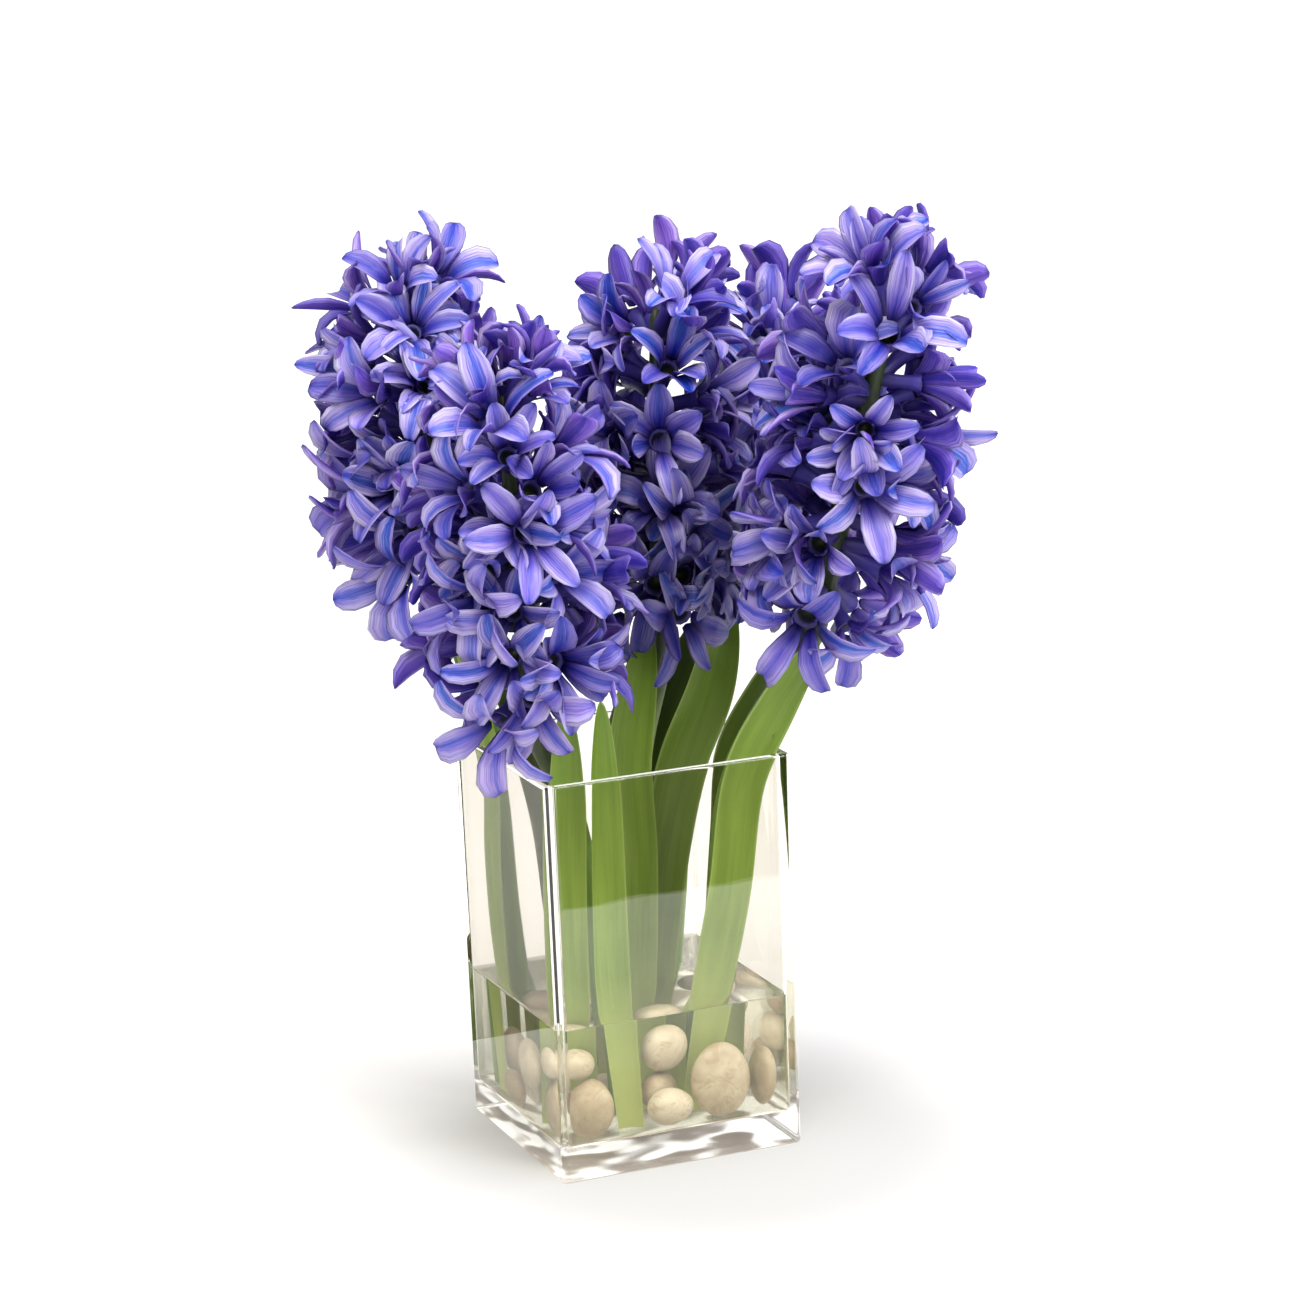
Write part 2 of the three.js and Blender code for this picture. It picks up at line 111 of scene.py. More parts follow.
class Draw(IntEnum):
    """What a fixed draw is for, by its channel. A tepal's draws add its count round the tube."""

    ANGLE = 0
    FILLER_CLIMB = 1
    FILLER_TURN = 2
    STONE_TINT = 3
    LEAF_TINT = 7
    STALK_TINT = 9
    LENGTH = 10
    CURL = 20
    TURN = 31
    TILT = 32
    SIZE = 33
    OPENED = 34
    ROLL = 35
    FILLER_SIZE = 36
    FILLER_OPENED = 37
    FILLER_TILT = 38
    LEAN = 39
    TINT = 40
    FLORET_TINT = 41
    TUBE_TINT = 50
    TWIST = 60
    SWAY = 70
    MORE_LENGTH = 80
    MORE_CURL = 90
    FLARE = 100
    PLUMP = 110


def linear(code: str) -> tuple[float, float, float, float]:
    """Turns an sRGB hex colour to linear light.

    Args:
        code: six hex digits.

    Returns:
        Linear red, green, blue and an alpha of 1.
    """
    parts = [int(code[i : i + 2], 16) / 255 for i in (0, 2, 4)]
    light = [c / 12.92 if c <= 0.04045 else ((c + 0.055) / 1.055) ** 2.4 for c in parts]
    return light[0], light[1], light[2], 1.0


def wobble(seed: int, channel: int) -> float:
    """Gives a fixed draw between -1 and 1 for a pair of numbers."""
    raw = math.sin(seed * SEED_RATE + channel * CHANNEL_RATE) * DRAW_RATE
    return 2 * (raw - math.floor(raw)) - 1


def own_share(seed: int, channel: int) -> float:
    """Gives a fixed draw between 0 and 1 for a pair of numbers."""
    return 0.5 + 0.5 * wobble(seed, channel)


def mix(low: float, high: float, share: float) -> float:
    """Goes from low to high as share goes from 0 to 1."""
    return low + (high - low) * share


def smooth(share: float) -> float:
    """Eases a share between 0 and 1 in and out."""
    held = min(1.0, max(0.0, share))
    return held * held * (3 - 2 * held)


def add_node(tree: Tree, kind: str, inputs: dict | None = None, **settings: object) -> bpy.types.Node:
    """Adds a shader node with its settings and links.

    Args:
        tree: the material's node tree.
        kind: the node's type name.
        inputs: for each input, by name or number, the socket that feeds it or its value.
        settings: the node's own options.

    Returns:
        The node.
    """
    node = tree.nodes.new(kind)
    for name, value in settings.items():
        setattr(node, name, value)
    for name, value in (inputs or {}).items():
        if isinstance(value, Socket):
            tree.links.new(value, node.inputs[name])
        else:
            node.inputs[name].default_value = value
    return node


def add_ramp(tree: Tree, factor: Socket, stops: Tones) -> Socket:
    """Adds a colour ramp.

    Args:
        tree: the material's node tree.
        factor: the socket that drives the ramp.
        stops: each stop's place from 0 to 1 and its sRGB hex colour.

    Returns:
        The ramp's colour socket.
    """
    ramp = add_node(tree, "ShaderNodeValToRGB", {"Fac": factor})
    elements = ramp.color_ramp.elements
    while len(elements) < len(stops):
        elements.new(0.5)
    for element, (place, code) in zip(elements, stops):
        element.position = place
        element.color = linear(code)
    return ramp.outputs["Color"]


def add_sum(tree: Tree, operation: str, *values: Socket | float) -> Socket:
    """Adds a sum on one to three numbers.

    Args:
        tree: the material's node tree.
        operation: the sum's name.
        values: the numbers, or the sockets that give them.

    Returns:
        The result's socket.
    """
    return add_node(tree, "ShaderNodeMath", dict(enumerate(values)), operation=operation).outputs[0]


def lay_over(
    tree: Tree, cover: Socket | float, under: Socket, over: Socket | str, blend: str = "MIX"
) -> Socket:
    """Lays one colour over another.

    Args:
        tree: the material's node tree.
        cover: how much of the upper colour is laid on, from 0 to 1.
        under: the lower colour.
        over: the upper colour, as a socket or in sRGB hex.
        blend: how the two are blended.

    Returns:
        The colour's socket.
    """
    upper = linear(over) if isinstance(over, str) else over
    inputs = {"Factor": cover, 6: under, 7: upper}
    return add_node(tree, "ShaderNodeMix", inputs, data_type="RGBA", blend_type=blend).outputs[2]


def add_noise(tree: Tree, place: Socket, size_mm: float, detail: float, distortion: float = 0.0) -> Socket:
    """Adds an uneven pattern.

    Args:
        tree: the material's node tree.
        place: the place on the piece, in metres.
        size_mm: the size of its marks.
        detail: how many finer layers it has.
        distortion: how much it is stirred.

    Returns:
        A socket from 0 to 1.
    """
    inputs = {"Vector": place, "Scale": 1 / (size_mm * MM), "Detail": detail, "Distortion": distortion}
    return add_node(tree, "ShaderNodeTexNoise", inputs).outputs["Fac"]


def add_bump(tree: Tree, height: Socket, depth_mm: float, strength: float) -> Socket:
    """Adds a bump of a real depth and gives its normal's socket."""
    inputs = {"Height": height, "Distance": depth_mm * MM, "Strength": strength}
    return add_node(tree, "ShaderNodeBump", inputs).outputs["Normal"]


def add_ease(tree: Tree, value: Socket, reach: Pair, results: Pair) -> Socket:
    """Eases a number between two results as another goes through a reach.

    Args:
        tree: the material's node tree.
        value: the number that goes through the reach.
        reach: where it starts and ends.
        results: the results there.

    Returns:
        The result's socket.
    """
    ends = ("From Min", "From Max", "To Min", "To Max")
    inputs = {"Value": value, **dict(zip(ends, (*reach, *results)))}
    return add_node(tree, "ShaderNodeMapRange", inputs, interpolation_type="SMOOTHSTEP").outputs["Result"]


def own_place(tree: Tree) -> Socket:
    """Gives the place on the piece, in its own coordinates."""
    return add_node(tree, "ShaderNodeTexCoord").outputs["Object"]


def read_mark(tree: Tree, name: str) -> Socket:
    """Gives one of the numbers that a piece's points carry."""
    return add_node(tree, "ShaderNodeAttribute", attribute_name=name).outputs["Fac"]


@dataclass(frozen=True)
class Finish:
    """A finish: the material's name, and how its surface is painted."""

    name: str

    def material(self) -> Material:
        """Makes the material and paints it.

        Returns:
            The material.
        """
        made = bpy.data.materials.new(self.name)
        made.use_nodes = True
        made.node_tree.nodes.clear()
        add_node(made.node_tree, "ShaderNodeOutputMaterial", {"Surface": self.paint(made.node_tree)})
        return made

    def paint(self, tree: Tree) -> Socket:
        """Adds the finish's nodes.

        Args:
            tree: the material's node tree.

        Returns:
            The shader of the surface.
        """
        raise NotImplementedError


@dataclass(frozen=True)
class ClearBody(Finish):
    """A clear solid or liquid, which shows by what it bends and mirrors: its surface swells a little."""

    tint: str
    shade: str
    ior: float
    swell_mm: float
    swell_height_mm: float
    most_mirrored: float = 2.5

    def paint(self, tree: Tree) -> Socket:
        """Paints a clear body that lets light through to what is inside it.

        Args:
            tree: the material's node tree.

        Returns:
            The shader of the surface.
        """
        swell = add_noise(tree, own_place(tree), self.swell_mm, detail=1.0)
        clear = add_node(
            tree,
            "ShaderNodeBsdfPrincipled",
            {
                "Base Color": linear(self.tint),
                "Roughness": 0.0,
                "IOR": self.ior,
                "Transmission Weight": 1.0,
                "Normal": add_bump(tree, swell, self.swell_height_mm, strength=1.0),
            },
        )
        return self.let_through(tree, clear.outputs["BSDF"])

    def let_through(self, tree: Tree, shader: Socket) -> Socket:
        """Lets lamps and bounced light reach what the body holds, so that none is caught in its walls.

        Args:
            tree: the material's node tree.
            shader: the clear shader.

        Returns:
            The shader, mixed with a transparent one.
        """
        path = add_node(tree, "ShaderNodeLightPath").outputs
        lit = add_sum(tree, "MAXIMUM", path["Is Shadow Ray"], path["Is Diffuse Ray"])
        caught = add_sum(tree, "GREATER_THAN", path["Glossy Depth"], self.most_mirrored)
        straight = add_sum(tree, "MAXIMUM", lit, caught)
        passed = add_node(tree, "ShaderNodeBsdfTransparent", {"Color": linear(self.shade)}).outputs["BSDF"]
        return add_node(tree, "ShaderNodeMixShader", {0: straight, 1: shader, 2: passed}).outputs["Shader"]


@dataclass(frozen=True)
class ClearGlass(ClearBody):
    """Soda-lime glass, pressed and fire polished: clear and bright, with a faint warm grey in its depth."""

    name: str = "pressed_soda_lime_glass"
    tint: str = "f7f4ee"
    shade: str = "fbfaf8"
    ior: float = 1.52
    swell_mm: float = 34.0
    swell_height_mm: float = 0.05


@dataclass(frozen=True)
class StillWater(ClearBody):
    """Tap water standing in the vase: clear, with a breath of leaf green and a barely moved surface."""

    name: str = "still_tap_water"
    tint: str = "f6f8ee"
    shade: str = "fdfdf8"
    ior: float = 1.333
    swell_mm: float = 22.0
    swell_height_mm: float = 0.12


@dataclass(frozen=True)
class BeachPebble(Finish):
    """Tumbled quartzite and sandstone: warm beige with clouds of tint, fine dark grit and a wet shine."""

    name: str = "tumbled_beach_pebble"
    tones: Tones = ((0.0, "86745a"), (0.34, "a39276"), (0.5, "baac92"), (0.66, "cbbfa8"), (1.0, "dad2c2"))
    cloud_mm: float = 7.0
    grit: str = "6f5c42"
    grit_mm: float = 0.7
    grit_cover: Tones = ((0.0, "b0b0b0"), (0.27, "909090"), (0.36, BLACK), (1.0, BLACK))
    rust: str = "94714e"
    rust_mm: float = 11.0
    rust_stirred: float = 1.2
    rust_cover: Tones = (
        (0.0, "b8b8b8"), (0.34, "a0a0a0"), (0.42, BLACK), (0.495, BLACK), (0.505, "c8c8c8"), (0.52, BLACK),
    )
    pore_depth_mm: float = 0.05
    roughness: float = 0.5
    wet_film: float = 0.3
    film_roughness: float = 0.12

    def paint(self, tree: Tree) -> Socket:
        """Paints the stone, with each pebble's own tone from its "tint" mark.

        Args:
            tree: the material's node tree.

        Returns:
            The shader of the surface.
        """
        place = own_place(tree)
        cloud = add_noise(tree, place, self.cloud_mm, detail=4.0)
        both = add_sum(tree, "ADD", cloud, read_mark(tree, "tint"))
        tone = add_ramp(tree, add_sum(tree, "MULTIPLY", both, 0.5), self.tones)
        grain = add_noise(tree, place, self.grit_mm, detail=2.0)
        gritty = lay_over(tree, add_ramp(tree, grain, self.grit_cover), tone, self.grit)
        rust = add_noise(tree, place, self.rust_mm, detail=3.0, distortion=self.rust_stirred)
        stone = add_node(
            tree,
            "ShaderNodeBsdfPrincipled",
            {
                "Base Color": lay_over(tree, add_ramp(tree, rust, self.rust_cover), gritty, self.rust),
                "Roughness": self.roughness,
                "Coat Weight": self.wet_film,
                "Coat Roughness": self.film_roughness,
                "Normal": add_bump(tree, grain, self.pore_depth_mm, strength=0.6),
            },
        )
        return stone.outputs["BSDF"]


def streaks(tree: Tree, fine: float, slow: float) -> Socket:
    """Adds lengthwise streaks that follow a blade by its "across", "along" and "tint" marks, no two alike.

    Args:
        tree: the material's node tree.
        fine: streaks for each half width.
        slow: changes along the whole length.

    Returns:
        A socket from 0 to 1.
    """
    blades_apart = 61.0
    rates = (("across", fine), ("along", slow), ("tint", blades_apart))
    place = [add_sum(tree, "MULTIPLY", read_mark(tree, name), rate) for name, rate in rates]
    spot = add_node(tree, "ShaderNodeCombineXYZ", dict(enumerate(place))).outputs[0]
    return add_node(tree, "ShaderNodeTexNoise", {"Vector": spot, "Scale": 1.0, "Detail": 2.0}).outputs["Fac"]


@dataclass(frozen=True)
class PlantSkin(Finish):
    """A plant's skin: waxy over flesh that some light passes through, with fine grooves along it."""

    roughness: float
    glow: float
    groove_mm: float
    groove_strength: float = 0.5
    ior: float = 1.42

    def skin(self, tree: Tree, colour: Socket, grooves: Socket) -> Socket:
        """Lays the waxy skin over the flesh.

        Args:
            tree: the material's node tree.
            colour: the skin's colour.
            grooves: the grooves' height.

        Returns:
            The shader.
        """
        normal = add_bump(tree, grooves, self.groove_mm, self.groove_strength)
        inputs = {"Base Color": colour, "Roughness": self.roughness, "IOR": self.ior, "Normal": normal}
        waxy = add_node(tree, "ShaderNodeBsdfPrincipled", inputs).outputs["BSDF"]
        through = add_node(tree, "ShaderNodeBsdfTranslucent", {"Color": colour, "Normal": normal})
        inputs = {0: self.glow, 1: waxy, 2: through.outputs["BSDF"]}
        return add_node(tree, "ShaderNodeMixShader", inputs).outputs["Shader"]


@dataclass(frozen=True)
class FreshBlade(PlantSkin):
    """A fresh strap leaf: firm and smooth, finely veined, with a waxy shine and light glowing through."""

    name: str = "fresh_waxy_leaf_blade"
    roughness: float = 0.36
    glow: float = 0.22
    groove_mm: float = 0.12
    veins: Pair = (26.0, 5.0)
    vein_share: float = 0.38
    bands: Pair = (2.2, 3.0)
    band_share: float = 0.62
    tones: Tones = ((0.0, "56721f"), (0.35, "728e2e"), (0.7, "8ba640"), (1.0, "a3ba56"))
    along: Tones = ((0.0, "e9efc4"), (0.2, "f4f7e2"), (0.55, WHITE), (1.0, "dfe8c8"))
    painted_shade_tone: str = "22300f"
    foot: str = "d3da86"
    foot_cover: Tones = ((0.0, "d8d8d8"), (0.16, "b4b4b4"), (0.36, BLACK), (1.0, BLACK))
    margin: str = "c2d488"
    margin_cover: Tones = ((0.0, BLACK), (0.9, BLACK), (1.0, "909090"))

    def paint(self, tree: Tree) -> Socket:
        """Paints the leaf's skin, which follows the blade by its marks.

        Args:
            tree: the material's node tree.

        Returns:
            The shader of the surface.
        """
        along = read_mark(tree, "along")
        vein = streaks(tree, *self.veins)
        band = add_sum(tree, "MULTIPLY", streaks(tree, *self.bands), self.band_share)
        tone = add_ramp(tree, add_sum(tree, "MULTIPLY_ADD", vein, self.vein_share, band), self.tones)
        colour = lay_over(tree, 1.0, tone, add_ramp(tree, along, self.along), "MULTIPLY")
        # painted shade: leaves deep in the bunch are darkened towards the shade tone by their "shade" mark
        colour = lay_over(tree, read_mark(tree, "shade"), colour, self.painted_shade_tone)
        colour = lay_over(tree, add_ramp(tree, along, self.foot_cover), colour, self.foot)
        edge = add_sum(tree, "ABSOLUTE", read_mark(tree, "across"))
        colour = lay_over(tree, add_ramp(tree, edge, self.margin_cover), colour, self.margin)
        return self.skin(tree, colour, vein)


@dataclass(frozen=True)
class FleshyStem(PlantSkin):
    """A watery flower stalk: smooth, mid green, finely streaked, with a violet flush under the flowers that
    painted shade darkens to near black.
    """

    name: str = "fresh_fleshy_flower_stalk"
    roughness: float = 0.42
    glow: float = 0.05
    groove_mm: float = 0.15
    fibres: Pair = (9.0, 6.0)
    tones: Tones = ((0.0, "4a6822"), (0.5, "6b8a36"), (1.0, "93ae56"))
    flush: str = "17101f"
    violet_and_shade_cover: Tones = ((0.0, BLACK), (0.7, BLACK), (0.86, "e6e6e6"), (1.0, "f4f4f4"))

    def paint(self, tree: Tree) -> Socket:
        """Paints the stalk's skin, which follows it by its marks.

        Args:
            tree: the material's node tree.

        Returns:
            The shader of the surface.
        """
        fibre = streaks(tree, *self.fibres)
        # the stalk's own violet flush under the flowers, darkened to violet-black by painted shade among the
        # leaves
        high = add_ramp(tree, read_mark(tree, "along"), self.violet_and_shade_cover)
        return self.skin(tree, lay_over(tree, high, add_ramp(tree, fibre, self.tones), self.flush), fibre)


@dataclass(frozen=True)
class TepalSkin(PlantSkin):
    """A fleshy, waxy tepal: a blue rib on lilac-violet, pale margins, fine lengthwise veins and a soft glow.

    Some tepals are ribbed and others plain, some deep and others pale, by the tepal's "tint" mark.
    """

    ribbed_tones: Tones = ()
    plain_tones: Tones = ()
    along_tones: Tones = ()
    flush: str = WHITE
    flush_share: float = 0.0
    roughness: float = 0.31
    glow: float = 0.27
    groove_mm: float = 0.3
    groove_strength: float = 0.85
    fibres: Pair = (8.0, 2.0)
    fibre_share: float = 1.15
    own_shift: Pair = (0.42, -0.24)
    kind_rate: float = 7.31
    plain_cover: Tones = ((0.0, BLACK), (0.38, "282828"), (0.7, "e0e0e0"), (1.0, "e0e0e0"))
    depth_rate: float = 13.7
    depth_tones: Tones = ((0.0, "a8a4d4"), (0.28, "dad8f4"), (0.48, WHITE), (1.0, WHITE))
    veins: Pair = (17.0, 1.2)
    vein_tones: Tones = ((0.0, "b4b2da"), (0.36, "c6c4e6"), (0.52, WHITE), (1.0, WHITE))
    painted_shade_tone: str = "5c5884"
    tip: str = "2c2a4e"
    tip_cover: Tones = ((0.0, BLACK), (0.93, BLACK), (0.985, "e8e8e8"), (1.0, "f4f4f4"))

    def drawn(self, tree: Tree, tint: Socket, rate: float) -> Socket:
        """Gives another draw from 0 to 1 for each tepal, from its tint."""
        return add_sum(tree, "FRACT", add_sum(tree, "MULTIPLY", tint, rate))

    def paint(self, tree: Tree) -> Socket:
        """Paints one side of a tepal, which follows it by its marks.

        Args:
            tree: the material's node tree.

        Returns:
            The shader of the surface.
        """
        along, tint = read_mark(tree, "along"), read_mark(tree, "tint")
        fibre = streaks(tree, *self.fibres)
        edge = add_sum(tree, "ABSOLUTE", read_mark(tree, "across"))
        from_rib = add_sum(tree, "MULTIPLY_ADD", add_sum(tree, "ADD", fibre, -0.5), self.fibre_share, edge)
        from_rib = add_sum(tree, "ADD", from_rib, add_sum(tree, "MULTIPLY_ADD", tint, *self.own_shift))
        ribbed, plain = (add_ramp(tree, from_rib, tones) for tones in (self.ribbed_tones, self.plain_tones))
        plainness = add_ramp(tree, self.drawn(tree, tint, self.kind_rate), self.plain_cover)
        colour = lay_over(tree, plainness, ribbed, plain)
        colour = lay_over(tree, add_sum(tree, "MULTIPLY", tint, self.flush_share), colour, self.flush)
        depth = add_ramp(tree, self.drawn(tree, tint, self.depth_rate), self.depth_tones)
        colour = lay_over(tree, 1.0, colour, depth, "MULTIPLY")
        veined = add_ramp(tree, streaks(tree, *self.veins), self.vein_tones)
        colour = lay_over(tree, 1.0, colour, veined, "MULTIPLY")
        # darker towards the tube: partly the tepal's own darker base colour, partly painted shade in the
        # throat
        lengthways = add_ramp(tree, along, self.along_tones)
        # painted shade: the lower florets of a head are darkened by their "shade" mark
        lengthways = lay_over(tree, read_mark(tree, "shade"), lengthways, self.painted_shade_tone)
        colour = lay_over(tree, 1.0, colour, lengthways, "MULTIPLY")
        dark_tip = add_sum(tree, "MULTIPLY", add_ramp(tree, along, self.tip_cover), tint)
        return self.skin(tree, lay_over(tree, dark_tip, colour, self.tip), fibre)


@dataclass(frozen=True)
class TubeSkin(PlantSkin):
    """The floret's tube and throat: violet-blue outside, dark olive green in the throat."""

    name: str = "waxy_floret_tube"
    roughness: float = 0.45
    glow: float = 0.1
    groove_mm: float = 0.2
    fibres: Pair = (6.0, 2.0)
    fibre_tones: Tones = ((0.0, "b8b8c8"), (1.0, WHITE))
    tones: Tones = (
        (0.0, "4a4a52"), (0.25, "3f3478"), (0.6, "4f42a6"), (0.74, "43378e"), (0.8, "262442"),
        (0.9, "38421a"), (1.0, "6d7a2a"),
    )

    def paint(self, tree: Tree) -> Socket:
        """Paints the tube's skin, which follows it by its marks.

        Args:
            tree: the material's node tree.

        Returns:
            The shader of the surface.
        """
        fibre = streaks(tree, *self.fibres)
        tone = add_ramp(tree, read_mark(tree, "along"), self.tones)
        streaked = lay_over(tree, 1.0, tone, add_ramp(tree, fibre, self.fibre_tones), "MULTIPLY")
        return self.skin(tree, streaked, fibre)


@dataclass(frozen=True)
class Rachis(PlantSkin):
    """The flower stalk inside a head: green, clouded with violet."""

    name: str = "violet_clouded_rachis"
    roughness: float = 0.45
    glow: float = 0.05
    groove_mm: float = 0.3
    cloud_mm: float = 12.0
    tones: Tones = ((0.0, "1d2812"), (0.5, "2f3d1a"), (1.0, "2c2340"))

    def paint(self, tree: Tree) -> Socket:
        """Paints the rachis's skin on its own coordinates.

        Args:
            tree: the material's node tree.

        Returns:
            The shader of the surface.
        """
        cloud = add_noise(tree, own_place(tree), self.cloud_mm, detail=3.0)
        return self.skin(tree, add_ramp(tree, cloud, self.tones), cloud)


TEPAL_FACE = TepalSkin(
    name="waxy_tepal_face",
    ribbed_tones=(
        (0.0, "355fc8"), (0.13, "5a86de"), (0.27, "8c95e2"), (0.43, "b8ace4"), (0.65, "d4caee"),
        (0.87, "e2dcf4"), (1.0, "f2eefc"),
    ),
    plain_tones=(
        (0.0, "7c7cda"), (0.2, "968edc"), (0.45, "b8aae2"), (0.68, "d0c6ec"), (0.87, "e0daf2"),
        (1.0, "f2eefc"),
    ),
    along_tones=(
        (0.0, "2a2650"), (0.1, "5a5596"), (0.26, "a29bd8"), (0.42, "dcd8f6"), (0.56, WHITE),
        (0.84, "fafaff"), (1.0, "a4b2f0"),
    ),
    flush="9a70dc",
    flush_share=0.42,
)
TEPAL_BACK = TepalSkin(
    name="waxy_tepal_back",
    ribbed_tones=((0.0, "534cb2"), (0.25, "7a62c6"), (0.55, "9c7bd8"), (0.85, "bda2e8"), (1.0, "dfd4f8")),
    plain_tones=((0.0, "6a5ad0"), (0.3, "8478dc"), (0.6, "a896e4"), (0.85, "c4b6f0"), (1.0, "e2dafa")),
    along_tones=((0.0, "7a70b8"), (0.25, "d8d4f4"), (0.6, WHITE), (1.0, "d6d2f6")),
    flush="9460c2",
    flush_share=0.5,
)


@dataclass
class Wardrobe:
    """The finishes, each made once."""

    made: dict[Finish, Material] = field(default_factory=dict)

    def get(self, finish: Finish) -> Material:
        """Gives a finish's material.

        Args:
            finish: the finish.

        Returns:
            Its material, made at the first call.
        """
        if finish not in self.made:
            self.made[finish] = finish.material()
        return self.made[finish]


def mesh_object(name: str, shape: Shape, materials: Sequence[Material]) -> Piece:
    """Turns a shape into an object of the scene.

    Args:
        name: the object's name.
        shape: its shape in metres, which is freed.
        materials: its materials, in the order of the faces' material indices.

    Returns:
        The object.
    """
    mesh = bpy.data.meshes.new(name)
    shape.to_mesh(mesh)
    shape.free()
    for material in materials:
        mesh.materials.append(material)
    made = bpy.data.objects.new(name, mesh)
    bpy.context.scene.collection.objects.link(made)
    return made


def place_piece(
    name: str, shape: Shape, materials: Sequence[Material], node: str
) -> Piece:
    """Makes a finished piece of a shape in millimetres, and sets it in the frame.

    Args:
        name: the piece's name.
        shape: its shape in millimetres, which is freed.
        materials: its materials, in the order of the faces' material indices.
        node: the solid that it stands for.

    Returns:
        The piece's object.
    """
    bmesh.ops.scale(shape, vec=(MM, MM, MM), verts=shape.verts)
    piece = mesh_object(name, shape, materials)
    faces = piece.data.polygons
    faces.foreach_set("use_smooth", [True] * len(faces))
    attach(piece, BODY)
    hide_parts(node)
    LOG.info("%s: %d faces, stands for %s", name, len(faces), node)
    return piece


def blank_shape() -> Shape:
    """Makes an empty shape whose points can carry the marks of a blade.

    Returns:
        The shape.
    """
    shape = bmesh.new()
    for name in BLADE_MARKS:
        shape.verts.layers.float.new(name)
    return shape


def mark_point(shape: Shape, vert: bmesh.types.BMVert, *marks: float) -> None:
    """Writes a point's marks: across, along, tint and shade."""
    for name, value in zip(BLADE_MARKS, marks):
        vert[shape.verts.layers.float[name]] = value


def bevel_edges(shape: Shape, edges: Sequence[bmesh.types.BMEdge], radius: float, segments: int) -> None:
    """Rounds some edges.

    Args:
        shape: the mesh.
        edges: its edges to round.
        radius: the rounding.
        segments: its steps.
    """
    bmesh.ops.bevel(
        shape,
        geom=edges,
        offset=radius,
        offset_type="OFFSET",
        segments=segments,
        profile=0.5,
        affect="EDGES",
        material=-1,
    )


@dataclass(frozen=True)
class Spline:
    """A smooth line through points, evenly paced along its length."""

    points: tuple[Triple, ...]
    pieces: int = 200
    near: float = 0.001

    def raw(self, share: float) -> Vector:
        """Gives the point at a share of the count of spans, before the pace is evened.

        Args:
            share: from 0 to 1.

        Returns:
            The point.
        """
        knots = [Vector(p) for p in self.points]
        last = len(knots) - 1
        span = min(int(last * share), last - 1)
        weight = last * share - span
        one, two = knots[span], knots[span + 1]
        nought = knots[span - 1] if span > 0 else 2 * knots[0] - knots[1]
        three = knots[span + 2] if span + 2 <= last else 2 * knots[last] - knots[last - 1]
        before, here, after = ((b - a).length ** 0.5 for a, b in ((nought, one), (one, two), (two, three)))
        start = ((one - nought) / before - (two - nought) / (before + here) + (two - one) / here) * here
        end = ((two - one) / here - (three - one) / (here + after) + (three - two) / after) * here
        square = 3 * (two - one) - 2 * start - end
        cube = 2 * (one - two) + start + end
        return one + start * weight + square * weight**2 + cube * weight**3

    @cached_property
    def lengths(self) -> list[float]:
        """Lengths from the start to each of the evenly counted points."""
        spots = [self.raw(i / self.pieces) for i in range(self.pieces + 1)]
        total = [0.0]
        for first, second in zip(spots, spots[1:]):
            total.append(total[-1] + (second - first).length)
        return total

    def at(self, share: float) -> Vector:
        """Gives the point at a share of the length.

        Args:
            share: from 0 to 1.

        Returns:
            The point.
        """
        wanted = min(1.0, max(0.0, share)) * self.lengths[-1]
        low = 0
        while low < self.pieces - 1 and self.lengths[low + 1] < wanted:
            low += 1
        step = self.lengths[low + 1] - self.lengths[low]
        return self.raw((low + (wanted - self.lengths[low]) / step) / self.pieces)

    def heading(self, share: float) -> Vector:
        """Gives the direction at a share of the length."""
        return (self.at(share + self.near) - self.at(share - self.near)).normalized()


